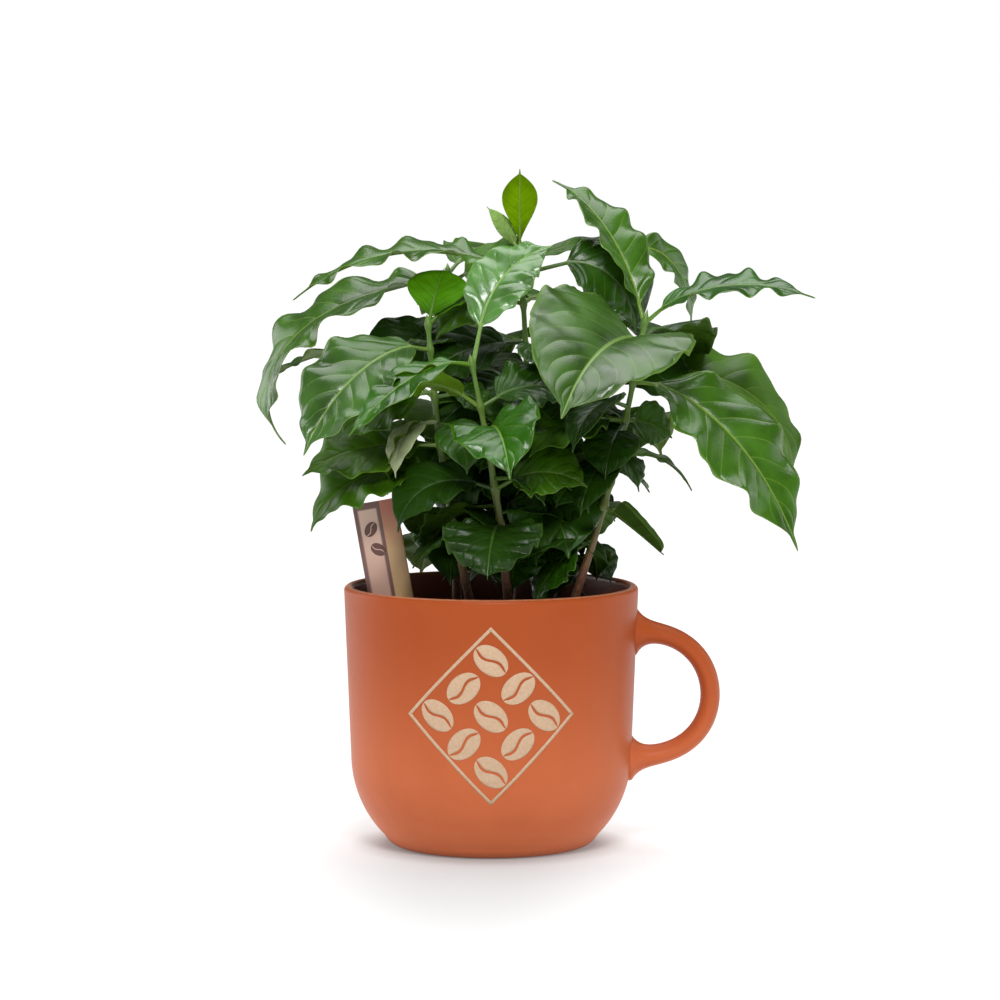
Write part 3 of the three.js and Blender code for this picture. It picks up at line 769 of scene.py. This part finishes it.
STEM_FOOT_RADIUS = 1.9
STEM_TIP_RADIUS = 0.9
STEM_FLARE = 1.2
STEM_FLARE_HEIGHT = 5.0
STEM_SUNK = 2.0
STEM_HEEL = 0.1
BUD_LENGTH = 2.5
COLLAR_SWELL = 0.7
COLLAR_HEIGHT = 2.2
STEM_STEP = 0.6
STEM_SIDES = 22
RIDGE = 0.05
RIDGE_COUNT = 4
RIDGE_TWIST = 0.03
BARK = 0.16
BARK_COUNTS = (7, 2)
BARK_PITCHES = (0.4, 1.9)
WOODY_TOP = 128.0
WOODY_FADE = 30.0
# Painted shade: the greens run darker and olive low down and the bark is painted dark, for the shade under
# the crown; the browning to bark is the stem's own
STEM_GREENS = (84, 104, 36), (82, 120, 34)
WOOD_COLOURS = (84, 50, 32), (124, 80, 52)
STEM_SPECK = (70, 60, 34)
STEM_SPECK_SHOW = 0.25
STEM_OLIVE_AND_SHADE_SPAN = (140.0, 220.0)
BARK_SETS_IN = (145.0, 112.0)
BARK_WANDER = 50.0


def stem_axis(seedling, z):
    """Points of a stem's middle line: straight from foot to tip, with a half sine of sideways bow."""
    foot, tip, bow = (np.array(part, dtype=float) for part in (seedling.foot, seedling.tip, seedling.bow))
    z = np.asarray(z, dtype=float)
    share = (z - SOIL_LEVEL) / (tip[2] - SOIL_LEVEL)
    bulge = np.sin(math.pi * np.clip(share, 0, 1))
    level = foot + share[..., None] * (tip[:2] - foot) + bulge[..., None] * bow
    return np.concatenate([level, z[..., None]], axis=-1)


def stem_radius(seedling, z):
    """Radius of a stem: an even taper with an exponential root flare."""
    share = (z - SOIL_LEVEL) / (seedling.tip[2] - SOIL_LEVEL)
    flare = STEM_FLARE * np.exp(-np.maximum(z - SOIL_LEVEL, 0) / STEM_FLARE_HEIGHT)
    return STEM_FOOT_RADIUS + (STEM_TIP_RADIUS - STEM_FOOT_RADIUS) * share + flare


def stem_finish():
    """Stem skin: fresh green above, through olive to a grainy brown bark low down, with dark specks. The
    darkening low down is partly the stem's own and partly painted shade under the crown.
    """
    material, tree, shader = new_material("stem_skin")
    cloud, grain, specks = put_grain(tree, scale=800.0)
    wander = calc(tree, "MULTIPLY_ADD", cloud, BARK_WANDER, -BARK_WANDER / 2)
    level = calc(tree, "ADD", object_height(tree), wander)
    green = tinted(tree, remap(tree, level, *STEM_OLIVE_AND_SHADE_SPAN), *STEM_GREENS)
    wood = tinted(tree, remap(tree, grain, *GRAIN_SPAN), *WOOD_COLOURS)
    body = tinted(tree, remap(tree, level, *BARK_SETS_IN), green, wood)
    body = tinted(tree, calc(tree, "MULTIPLY", specks, STEM_SPECK_SHOW), body, STEM_SPECK)
    fill(tree, shader, Base_Color=body, Roughness=0.5)
    bumped(tree, shader, grain, strength=0.3, distance=0.3)
    return material


def stem_skin(seedling, seed):
    """A stem as a loft of level rings. Its radius has the taper and flare, a bell curve of swelling at each
    pair of leaves, shallow ridges along it, and cracked bark low down from crossed sines."""
    draw = np.random.RandomState(seed)
    top = seedling.tip[2]
    z = np.arange(SOIL_LEVEL - STEM_SUNK, top, STEM_STEP)
    radius = stem_radius(seedling, z)
    for height, *_ in seedling.pairs:
        radius = radius + COLLAR_SWELL * np.exp(-((z - height) / COLLAR_HEIGHT) ** 2)
    angle = full_turn(STEM_SIDES)
    start = draw.uniform(0, math.tau, 4)
    level = z[:, None]
    ridge = RIDGE * np.cos(RIDGE_COUNT * angle + start[0] + RIDGE_TWIST * level)
    crack = np.sin(BARK_COUNTS[0] * angle + start[1] + np.sin(BARK_PITCHES[0] * level + start[2]))
    crack = crack * np.sin(BARK_PITCHES[1] * level + BARK_COUNTS[1] * angle + start[3])
    woody = np.clip((WOODY_TOP - level) / WOODY_FADE, 0, 1)
    full = radius[:, None] + ridge + BARK * woody * crack
    rings = stem_axis(seedling, z)[:, None] + round_points(full, angle, 0.0)
    ends = stem_axis(seedling, [z[0] - STEM_HEEL, top + BUD_LENGTH])
    return loft(rings, *ends)


stem_material = stem_finish()
for number, (name, seedling) in enumerate(SEEDLINGS.items()):
    stem_piece = make_piece(f"bark_{name}", *stem_skin(seedling, number), [stem_material])
    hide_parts(f"stem_{name}")


# Leaves
# Leathery coffee leaves in opposite pairs: glossy above with a pale midrib and sunk side veins, paler and
# duller below, waved along the margin and drawn out into a drip tip. Young ones are bright and smooth, and
# the bud's bright yellow green is partly painted light shining through it.

STALK_RADIUS = 0.95
STALK_TAPER = 0.8
STALK_ROWS = 5
LEAF_THICKNESS = 0.5
MARGIN_THIN = 0.6
LEAF_CURL = 0.14
FOOT_FOLD = 0.9
FOOT_SPREAD = 0.06
WAVE_HEIGHT = 0.055
WAVE_SETTLE = 0.25
WAVE_LAG = 2.0
UNEVEN_WAVE = 0.5
UNEVEN_PITCH = 1.63
WAVE_STEP = 7
CALM_LENGTH = 60.0
QUILT_START = 0.2
RUFFLE_LAG = 0.6
RUFFLE_EDGE = 0.8
CRINKLE_WAVES = 5
CRINKLE_ALONG = (1.5, 5.0)
CRINKLE_TILT = 1.5
CRINKLE_STEPS = (20, 30, 40)
BLADE_SPAN = (0.004, 0.992)
BLADE_END = 0.93
TIP_LENGTH = 0.008
LEAST_HALF = 1e-3
DRIP_START = 0.8
DRIP_TAPER = 0.12
DRIP_POWER = 0.7
SEED_STRIDE = 127.1
STEP_STRIDE = 311.7
SCATTER = 43758.5453
BLADE_ROWS = 60
SIDE_COLUMNS = 10
RIB_BREADTH = (0.25, 0.014)
RIB_TAPER = 0.8
RIB_SHARE = 0.4
GROOVE_DEPTH = 0.5
KEEL_DEPTH = 1.3
MIDDLE = 1e-6
VEIN_PAIRS = 4.5
VEIN_SPACING = 20.0
VEIN_SLANT = 0.8
VEIN_BEND = 1.2
VEIN_SHOW = (0.42, 0.3)
VEIN_LINE = (0.5, 0.45)
VEIN_FADE = (0.6, 1.0, 1.0, 0.15)
PUFF_SPAN = (0.5, 0.25)
PUFF_POWER = 0.7
GRAIN_HEIGHT = 0.35
EDGE_SPAN = (0.95, 0.985)
EDGE_SHOW = 0.5
BELOW_SHINE = 0.6
BELOW_ROUGH = 0.5
MOTTLE_LIGHT = (1.16, 6)
MOTTLE_DEEP = 0.84
MOTTLE_ROUGH = (0.8, 1.25)
RIB_DEEP = 0.85
ABOVE, BELOW, RIB = 0, 1, 2

# A leaf's look by age, and for some looks by the light that falls on it: its colours above, below and on the
# midrib; quilting, ruffle and crinkle as shares of its width; how much it shines and how rough it is; how
# early it is widest, how full it is, and its drip tip
Look = namedtuple("Look", "above below rib quilt ruffle crinkle shine rough early fullness drip",
                  defaults=(0.004, 0.01, 0.008, 0.5, 0.27, 0.9, 0.85, 0.085))
AGES = {
    # Painted light: the bud's bright yellow green is partly its own and partly painted light shining through
    # it
    "bud": Look((72, 106, 0), (84, 118, 0), (104, 140, 24), 0.002, 0.002, 0.006, 0.0, 0.6, 1.6),
    "sprout": Look((104, 136, 62), (112, 144, 70), (110, 142, 60), 0.002, 0.003, 0.006, 0.1, 0.5, 0.9),
    "young": Look((54, 102, 0), (84, 118, 8), (68, 114, 6), 0.003, 0.002, 0.006, 0.06, 0.45, 1.4, 0.6, 0.02),
    "fresh": Look((34, 80, 1), (76, 108, 12), (92, 134, 28), rough=0.26),
    "ripe": Look((48, 88, 8), (80, 110, 22), (112, 146, 46), 0.007),
    # Painted sheen: this look's colour above is paled and greyed towards blue for the white sheen on a
    # glossy leaf
    "bright": Look((72, 116, 50), (80, 110, 22), (120, 160, 70), 0.007, shine=0.8, rough=0.25),
    "broad": Look((46, 80, 16), (80, 110, 22), (112, 146, 62), 0.009, shine=0.55, rough=0.32, early=0.66,
                  fullness=0.7),
    # Painted sheen: this look's colour above is greyed towards blue for a broad grey sheen
    "sheen_grey": Look((50, 84, 28), (80, 110, 22), (108, 142, 56), 0.008, shine=0.5),
    "leafy": Look((48, 86, 3), (78, 108, 16), (80, 112, 26), shine=0.2, rough=0.4),
    "pale": Look((54, 92, 7), (76, 110, 12), (96, 128, 34), shine=0.2, rough=0.4),
    # Older leaves are darker of their own, and this look is painted darker still as shade inside the crown
    "old": Look((30, 66, 2), (48, 78, 10), (70, 104, 26), shine=0.35, rough=0.3),
    # Painted shade: this look is painted dark for leaves deep in the crown's shade
    "shade": Look((22, 49, 2), (38, 62, 8), (46, 74, 16), 0.004, 0.004, 0.008, 0.1, 0.4),
    # Painted light: a leaf's underside, paler of its own, painted far paler still for light catching it
    "lit_underside": Look((150, 160, 120), (156, 166, 128), (168, 178, 132), 0.002, 0.003, 0.006, 0.2, 0.4),
    # Painted shade: this look has the same dark colours, painted for a low leaf in shade
    "round": Look((22, 49, 2), (38, 62, 8), (62, 94, 28), 0.004, 0.01, 0.01, 0.2, 0.35, 0.75, 0.55, 0.02),
    "rolled": Look((48, 76, 14), (40, 64, 12), (84, 110, 40), 0.002, 0.003, 0.006, 0.25, 0.4, 0.85, 0.25,
                   0.02),
}


def vein_group():
    """Side veins of a leaf from its UV map, whose second place counts the veins: a mask of the lines, the
    puffed height between them and a mask of the pale margin."""
    group = bpy.data.node_groups.new("side veins", "ShaderNodeTree")
    for label in ("Lines", "Puff", "Edge"):
        group.interface.new_socket(label, in_out="OUTPUT", socket_type="NodeSocketFloat")
    across, count = pattern_places(group)
    reach = calc(group, "ABSOLUTE", calc(group, "MULTIPLY_ADD", across, 2.0, -1.0))
    far = calc(group, "ABSOLUTE", calc(group, "SUBTRACT", calc(group, "FRACT", count), 0.5))
    lines = remap(group, far, *VEIN_LINE, 1.0, 0.0, "SMOOTHSTEP")
    lines = calc(group, "MULTIPLY", lines, remap(group, reach, *VEIN_FADE))
    puff = calc(group, "POWER", remap(group, far, *PUFF_SPAN), PUFF_POWER)
    put_node(group, "NodeGroupOutput", Lines=lines, Puff=puff, Edge=remap(group, reach, *EDGE_SPAN))
    return group


side_veins = vein_group()


def blade_finish(name, colour, vein, vein_show, shine, rough):
    """Leaf skin: a base colour with slow mottling, paler side veins and margin, and a bump that sinks the
    veins."""
    material, tree, shader = new_material(name)
    cloud, grain, _ = put_grain(tree, scale=1100.0)
    veins = put_node(tree, "ShaderNodeGroup", {"node_tree": side_veins}).outputs
    light = tuple(min(255, MOTTLE_LIGHT[0] * part + MOTTLE_LIGHT[1]) for part in colour)
    deep = tuple(MOTTLE_DEEP * part for part in colour)
    body = tinted(tree, remap(tree, cloud, *NOISE_SPAN), deep, light)
    body = tinted(tree, calc(tree, "MULTIPLY", veins["Lines"], vein_show), body, vein)
    body = tinted(tree, calc(tree, "MULTIPLY", veins["Edge"], EDGE_SHOW), body, vein)
    uneven = remap(tree, cloud, *NOISE_SPAN, *(share * rough for share in MOTTLE_ROUGH))
    fill(tree, shader, Base_Color=body, Roughness=uneven, Specular_IOR_Level=shine)
    height = calc(tree, "MULTIPLY_ADD", grain, GRAIN_HEIGHT, veins["Puff"])
    bumped(tree, shader, height, strength=0.5, distance=0.4)
    return material


def rib_finish(name, colour):
    """Midrib and stalk: smooth and pale, faintly streaked."""
    deep = tuple(RIB_DEEP * part for part in colour)
    return mottled_finish(name, 1500.0, deep, colour, rough=0.4, span=NOISE_SPAN)


leaf_materials = []
age_slots = {}
for age, look in AGES.items():
    age_slots[age] = len(leaf_materials)
    leaf_materials += [
        blade_finish(f"leaf_{age}_above", look.above, look.rib, VEIN_SHOW[0], look.shine, look.rough),
        blade_finish(f"leaf_{age}_below", look.below, look.rib, VEIN_SHOW[1], BELOW_SHINE * look.shine,
                     BELOW_ROUGH),
        rib_finish(f"leaf_{age}_rib", look.rib),
    ]


def chance(seed, step):
    """A seeded value between 0 and 1: a large multiple of a sine, less its whole part."""
    value = math.sin(seed * SEED_STRIDE + step * STEP_STRIDE) * SCATTER
    return value - math.floor(value)


def blade_share(t, look):
    """Half the width of a blade as a share of its largest: a power of a sine, then a thin drip tip."""
    wave = np.sin(math.pi * np.minimum(t / BLADE_END, 1) ** look.early).clip(0) ** look.fullness
    tip = np.where(t > DRIP_START, look.drip * np.minimum((1 - t) / DRIP_TAPER, 1) ** DRIP_POWER, 0)
    return np.maximum(wave, tip)


def crinkles(seed, u, level):
    """Shallow, uneven creases over a blade: a sum of seeded plane waves across and along it."""
    crease = 0
    for step in range(CRINKLE_WAVES):
        many, tilt, start = (chance(seed, first + step) for first in CRINKLE_STEPS)
        along = CRINKLE_ALONG[0] + CRINKLE_ALONG[1] * many
        across = 2 * CRINKLE_TILT * tilt - CRINKLE_TILT
        crease = crease + np.sin(math.tau * (along * level + across * u / 2 + start))
    return crease / math.sqrt(CRINKLE_WAVES)


def leaf_midrib(root, blade, t, along_stalk):
    """A leaf's middle line as an arc in an upright plane, whose pitch falls from its rise by its droop, with
    the directions across the blade and up from it, turned by its roll, and the end of its tip."""
    turn, rise, droop, roll = np.radians([blade.turn, blade.rise, blade.droop, blade.roll])
    heading = np.array([math.cos(turn), math.sin(turn), 0])
    side = np.array([-math.sin(turn), math.cos(turn), 0])
    upright = np.array([0, 0, 1.0])
    pitch = rise - droop * t ** blade.bend
    middle_pitch = (pitch + np.concatenate([pitch[:1], pitch[:-1]])) / 2
    stretch = np.diff(t * blade.length + along_stalk, prepend=0)
    run, climb = np.cumsum(stretch * np.cos(middle_pitch)), np.cumsum(stretch * np.sin(middle_pitch))
    centre = root + run[:, None] * heading + climb[:, None] * upright
    up = np.cos(pitch)[:, None] * upright - np.sin(pitch)[:, None] * heading
    across = math.cos(roll) * side + math.sin(roll) * up
    upward = math.cos(roll) * up - math.sin(roll) * side
    onward = math.cos(rise - droop) * heading + math.sin(rise - droop) * upright
    return centre, across, upward, centre[-1] + TIP_LENGTH * blade.length * onward


def blade_lift(blade, look, seed, u, level, half, step):
    """Height of a blade above its midrib's line: it folds up from the midrib, curls down again, waves along
    the margin and is crinkled. Between the side veins, which step counts, it puffs up as half a sine, and
    the margin ruffles in step with them."""
    reach = np.abs(u)
    phase = math.tau * chance(seed, WAVE_STEP) + np.where(u > 0, 0, WAVE_LAG)
    settle = np.minimum(1, half / (WAVE_SETTLE * blade.width))
    sway = math.tau * blade.waves * level + phase
    sway = np.sin(sway) + UNEVEN_WAVE * np.sin(UNEVEN_PITCH * sway + 2 * phase)
    fold = blade.fold * (1 + FOOT_FOLD * (1 - level) ** 3)
    lift = (fold * reach - LEAF_CURL * u ** 2) * half
    puff = np.abs(np.sin(math.pi * step))
    return lift + blade.width * settle * (
        WAVE_HEIGHT * blade.wavy * min(1, blade.length / CALM_LENGTH) * u ** 2 * sway
        + look.crinkle * crinkles(seed, u, level) * np.minimum(1, 2 * reach)
        + look.quilt * puff * (1 - reach ** 4) * np.minimum(1, reach / QUILT_START)
        + look.ruffle * reach ** 3 * np.sin(math.tau * step + RUFFLE_LAG))


Skin = namedtuple("Skin", "points quads fans uv slots")


def leaf_skin(root, blade, seed, rows, columns):
    """One leaf as a loft of rings, over the top from its left margin to its right and back below. Its midrib
    is grooved above and keeled below. At its foot the rings blend into the round stalk by a smooth step."""
    look = AGES[blade.age]
    length, width = blade.length, blade.width
    stalk_share = np.linspace(0, 1, STALK_ROWS, endpoint=False)
    t = np.concatenate([np.zeros(STALK_ROWS), np.linspace(*BLADE_SPAN, rows)])
    along_stalk = np.concatenate([stalk_share, np.ones(rows)]) * blade.stalk
    centre, across, upward, end = leaf_midrib(root, blade, t, along_stalk)

    pairs = VEIN_PAIRS + length / VEIN_SPACING
    slant = VEIN_SLANT * width / 2 / length
    edge_step = pairs * (t - slant)
    half = np.maximum(blade_share(t, look) * width / 2, LEAST_HALF)
    half = half * (1 + RUFFLE_EDGE * look.ruffle * np.cos(math.tau * edge_step))
    rib = (RIB_BREADTH[0] + RIB_BREADTH[1] * width) * (1 - RIB_TAPER * t)
    rib = np.minimum(rib, RIB_SHARE * half)[:, None]
    half, level = half[:, None], t[:, None]
    outer = rib + (half - rib) * np.linspace(1, 0, columns + 1)
    x = np.concatenate([outer, np.zeros((len(t), 1)), -outer[:, ::-1]], axis=1)
    u = x / half
    step = pairs * (level - slant * np.abs(u) ** VEIN_BEND) + np.where(u < 0, 0.5, 0)
    lift = blade_lift(blade, look, seed, u, level, half, step)
    thick = LEAF_THICKNESS / 2 * (1 - MARGIN_THIN * u ** 2)
    on_rib = rib * (np.abs(u) < MIDDLE)

    count = x.shape[1]
    round_angle = math.pi * np.arange(count) / (count - 1)
    stalk_radius = STALK_RADIUS * (1 - (1 - STALK_TAPER) * along_stalk / blade.stalk)[:, None]
    join = np.clip(level / FOOT_SPREAD, 0, 1)
    join = join * join * (3 - 2 * join)
    x = (1 - join) * stalk_radius * np.cos(round_angle) + join * x
    round_stalk = (1 - join) * stalk_radius * np.sin(round_angle)
    top = round_stalk + join * (lift + thick - GROOVE_DEPTH * on_rib)
    below = -round_stalk + join * (lift - thick - KEEL_DEPTH * on_rib)
    rings = (centre[:, None] + both_faces(x, x)[..., None] * across[:, None]
             + both_faces(top, below)[..., None] * upward[:, None])
    points, quads, fans = loft(rings, centre[0], end)
    place = np.arange(2 * count)
    lower = np.tile(place, len(t) - 1) >= count
    quads[lower] = np.roll(quads[lower], -1, axis=1)

    pattern = np.stack([0.5 + both_faces(u, u) / 2, both_faces(step, step)], axis=-1)
    uv = np.concatenate([pattern.reshape(-1, 2), [[0.5, 0], [0.5, 1]]])
    ribbed = (place % count == columns) | (place % count == columns + 1)
    face = np.where(ribbed, RIB, np.where(place < count - 1, ABOVE, BELOW))
    faces = np.repeat(face[None], len(t) - 1, axis=0)
    faces[:STALK_ROWS + 2] = RIB
    slots = np.concatenate([faces.ravel(), np.full(len(fans), RIB)]) + age_slots[blade.age]
    return Skin(points, quads, fans, uv, slots)


def leaf_root(seedling, height, turn):
    """Where a leaf's stalk starts in its stem: half its radius out, on the side that the leaf points to."""
    reach = stem_radius(seedling, height) / 2
    angle = math.radians(turn)
    return stem_axis(seedling, height) + reach * np.array([math.cos(angle), math.sin(angle), 0])


def grown_leaf(seedling, height, blade, seed, rows=BLADE_ROWS, columns=SIDE_COLUMNS):
    """The skin of a leaf at its height on its stem."""
    return leaf_skin(leaf_root(seedling, height, blade.turn), blade, seed, rows, columns)


def foliage_piece(name, skins):
    """Several leaves' skins as one piece."""
    starts = np.cumsum([0] + [len(skin.points) for skin in skins[:-1]])
    points = np.concatenate([skin.points for skin in skins])
    quads = np.concatenate([skin.quads + start for skin, start in zip(skins, starts)])
    fans = np.concatenate([skin.fans + start for skin, start in zip(skins, starts)])
    uv = np.concatenate([skin.uv for skin in skins])
    slots = np.concatenate([skin.slots[:len(skin.quads)] for skin in skins]
                           + [skin.slots[len(skin.quads):] for skin in skins])
    piece = make_piece(name, points, quads, fans, leaf_materials, slots, uv)
    return piece


pair_seed = 0
for name, seedling in SEEDLINGS.items():
    skins = []
    for height, *blades in seedling.pairs:
        pair_seed += 1
        for which, blade in enumerate(blades):
            skins.append(grown_leaf(seedling, height, blade, 2 * pair_seed + which))
    foliage = foliage_piece(f"foliage_{name}", skins)
    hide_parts(*[f"leaves_{name}_{i + 1}" for i in range(len(seedling.pairs))])


# Inner leaves
# Between the leaves that show, each stem carries smaller ones that close the crown, painted dark as shade
# inside it, the lowest darkest. They grow like the pairs, with fewer rows to a leaf, and a few larger ones
# show between the pairs.

INNER_ROWS = 32
INNER_COLUMNS = 5
INNER_STEP = 7.0
INNER_LOW = 110.0
INNER_TOP_CLEAR = 30.0
INNER_HIGH = 186.0
INNER_LENGTH = (38.0, 56.0)
INNER_BREADTH = (0.6, 0.75)
INNER_RISE = (0, 25)
INNER_DROOP = (60, 90)
INNER_ROLL = (-20, 20)
INNER_WAVY = 0.4
INNER_SHORTEST = 16.0
INNER_TRIM = 2.0
INNER_REACH_LOW = 30.0
INNER_REACH_GAIN = 0.34
INNER_SHADE_TOP = 150.0
STEM_TURN = 71
GOLDEN_TURN = 137.5
UNEVEN_TURN = (-20, 20)
CROWN_MIDDLE = np.array([14.0, 4.0])
INNER_SEEDS = (1000, 40)


def inner_leaves(seedling, seed):
    """Leaves at even steps up a stem, each turned by the golden angle from the last, with seeded sizes.
    Where a tip would leave the crown's inner round, which widens evenly upwards, the leaf is shortened or,
    when it gets too short, left out."""
    draw = np.random.RandomState(seed)
    skins = []
    highest = min(INNER_HIGH, seedling.tip[2] - INNER_TOP_CLEAR)
    for step, height in enumerate(np.arange(INNER_LOW, highest, INNER_STEP)):
        turn = seed * STEM_TURN + step * GOLDEN_TURN + draw.uniform(*UNEVEN_TURN)
        length = draw.uniform(*INNER_LENGTH)
        breadth = draw.uniform(*INNER_BREADTH)
        rise, droop, roll = (draw.uniform(*span) for span in (INNER_RISE, INNER_DROOP, INNER_ROLL))
        foot = leaf_root(seedling, height, turn)[:2] - CROWN_MIDDLE
        heading = np.array([math.cos(math.radians(turn)), math.sin(math.radians(turn))])
        reach = INNER_REACH_LOW + INNER_REACH_GAIN * (height - INNER_LOW)
        while length > INNER_SHORTEST and np.linalg.norm(foot + heading * length) > reach:
            length -= INNER_TRIM
        if length > INNER_SHORTEST:
            # Painted shade: leaves low in the crown get the darkest look
            age = "shade" if height < INNER_SHADE_TOP else "old"
            blade = Leaf(turn, rise, droop, length, breadth * length, roll, age, wavy=INNER_WAVY)
            leaf_seed = INNER_SEEDS[0] + INNER_SEEDS[1] * seed + step
            skins.append(grown_leaf(seedling, height, blade, leaf_seed, INNER_ROWS, INNER_COLUMNS))
    return skins


# The larger ones by seedling, with the height of each, which is its seed too
EXTRA_LEAVES = {
    "tall": [
        (236, Leaf(8, 28, 40, 42, 9, 30, "leafy", 6)),
        (205, Leaf(196, 0, 50, 44, 30, -35, "shade")),
        (190, Leaf(200, -12, 40, 40, 30, -35, "shade")),
        (184, Leaf(-40, 5, 60, 36, 34, 20, "shade")),
        (152, Leaf(205, 0, 75, 42, 40, 0, "shade")),
        (134, Leaf(200, -10, 60, 34, 36, 0, "shade")),
    ],
    "left": [
        (186, Leaf(178, -8, 40, 40, 30, -40, "leafy", 4)),
        (174, Leaf(226, 0, 100, 32, 16, 0, "lit_underside", 5, wavy=0.5)),
        (176, Leaf(190, -40, 40, 34, 34, 20, "leafy", 4)),
        (142, Leaf(12, 0, 60, 36, 36, 30, "shade")),
        (138, Leaf(100, -5, 70, 30, 36, 0, "shade")),
        (128, Leaf(30, -5, 50, 36, 34, 25, "shade")),
    ],
    "centre": [(141, Leaf(150, -5, 70, 34, 36, 0, "shade"))],
    "right": [
        (173, Leaf(-110, -20, 55, 26, 24, 0, "shade", wavy=0.3)),
        (161, Leaf(-122, -15, 60, 32, 24, 0, "shade", wavy=0.3)),
        (126, Leaf(200, -30, 40, 30, 30, -10)),
    ],
    "rear_left": [
        (228, Leaf(-15, 30, 100, 34, 34, 40, "leafy")),
        (212, Leaf(195, -25, 55, 36, 34, -55, "shade")),
    ],
    "rear_right": [(196, Leaf(-35, 0, 60, 36, 34, 20, "shade"))],
}

for number, (name, seedling) in enumerate(SEEDLINGS.items()):
    larger = [grown_leaf(seedling, height, blade, height) for height, blade in EXTRA_LEAVES[name]]
    foliage_piece(f"inner_{name}", inner_leaves(seedling, number + 1) + larger)


# Studio
# A plain white floor that glows as a light table does, with a painted soft shadow in front of the mug and a
# painted contact shadow under its foot, white surroundings and large soft lights, seen by a long lens from a
# little above.

FLOOR_REACH = 6000.0
FLOOR_GREY = (0.4, 0.4, 0.4, 1)
WHITE = (1, 1, 1, 1)
FLOOR_GLOW = 0.66
# Painted shadow: the glow drops in a patch in front of the mug and round its foot, for its soft shadow and
# its contact shadow
FRONT_SHADOW_GLOW = 0.29
FRONT_SHADOW_SPAN = (30.0, 320.0)
FRONT_SQUEEZE = (3.2, 1, 1)
FRONT_SHIFT = (30.0, 100.0, 0)
FOOT_SHADOW_GLOW = 0.45
FOOT_SHADOW_SPAN = (42.0, 58.0)
HORIZON_BAND = (0.05, 0.1)
SKY_STRENGTH = 0.1
CAMERA_PLACE = (3.606, -1800.0, 296.4)
CAMERA_PITCH = math.radians(4.93)
CAMERA_LENS = 159.7
CAMERA_REACH = 100000.0
SENSOR = 36.0


def studio_floor():
    """A large level square under the mug, whose glow is weaker in a patch in front of it, as a painted soft
    shadow, and fades under the foot, as a painted contact shadow."""
    corner = np.array([[-1, -1, 0], [1, -1, 0], [1, 1, 0], [-1, 1, 0]]) * FLOOR_REACH
    mesh = bpy.data.meshes.new("floor")
    mesh.from_pydata((corner * MM).tolist(), [], [(0, 1, 2, 3)])
    material, tree, shader = new_material("floor_white")
    place = put_node(tree, "ShaderNodeTexCoord").outputs["Object"]
    spread = put_node(tree, "ShaderNodeVectorMath", {"operation": "MULTIPLY_ADD"}, Vector=place)
    spread.inputs[1].default_value = FRONT_SQUEEZE
    spread.inputs[2].default_value = np.array(FRONT_SHIFT) * MM
    measure = {"operation": "LENGTH"}
    far = put_node(tree, "ShaderNodeVectorMath", measure, Vector=spread.outputs["Vector"]).outputs["Value"]
    out = put_node(tree, "ShaderNodeVectorMath", measure, Vector=place).outputs["Value"]
    far, out = (calc(tree, "DIVIDE", distance, MM) for distance in (far, out))
    glow = remap(tree, far, *FRONT_SHADOW_SPAN, FRONT_SHADOW_GLOW, FLOOR_GLOW, "SMOOTHSTEP")
    glow = calc(tree, "MULTIPLY", glow, remap(tree, out, *FOOT_SHADOW_SPAN, FOOT_SHADOW_GLOW, 1.0))
    fill(tree, shader, Base_Color=FLOOR_GREY, Roughness=0.9, Emission_Color=WHITE, Emission_Strength=glow)
    mesh.materials.append(material)
    add_object("floor", mesh)


def white_surroundings():
    """A pale world, full white in a band at the height of the horizon, where the studio's back wall is."""
    world = bpy.data.worlds.new("white")
    world.use_nodes = True
    tree = world.node_tree
    heading = put_node(tree, "ShaderNodeTexCoord").outputs["Generated"]
    climb = calc(tree, "ABSOLUTE", put_node(tree, "ShaderNodeSeparateXYZ", Vector=heading).outputs["Z"])
    strength = remap(tree, climb, *HORIZON_BAND, 1.0, SKY_STRENGTH)
    fill(tree, tree.nodes["Background"], Color=WHITE, Strength=strength)
    bpy.context.scene.world = world


def place_light(name, kind, place, aim, power, **settings):
    """A lamp at a place, turned to a point, both in millimetres. settings are the lamp's own options."""
    lamp = bpy.data.lights.new(name, kind)
    lamp.energy = power
    for option, value in settings.items():
        setattr(lamp, option, value)
    holder = add_object(name, lamp)
    holder.location = np.array(place) * MM
    direction = mathutils.Vector(np.array(aim) - np.array(place))
    holder.rotation_euler = direction.to_track_quat("-Z", "Y").to_euler()


studio_floor()
white_surroundings()
# The tent is a wide, even light, as from the cloth of a light tent, so that the floor is lit alike all over
place_light("tent", "SUN", (0, 250, 1000), (0, 0, 0), power=2.7, angle=math.radians(60))
place_light("key", "AREA", (30, -1000, 1000), (0, 0, 180), power=13, size=400 * MM)
place_light("left wall", "AREA", (-1000, 500, 400), (0, 0, 120), power=5, size=800 * MM)
place_light("right wall", "AREA", (1000, 400, 400), (0, 0, 120), power=2, size=800 * MM)
bpy.context.scene.view_settings.view_transform = "Standard"

lens = bpy.data.cameras.new("camera")
lens.lens = CAMERA_LENS
lens.sensor_width = SENSOR
lens.clip_end = CAMERA_REACH * MM
camera = add_object("camera", lens)
camera.location = np.array(CAMERA_PLACE) * MM
camera.rotation_euler = (math.pi / 2 - CAMERA_PITCH, 0, 0)
bpy.context.scene.camera = camera
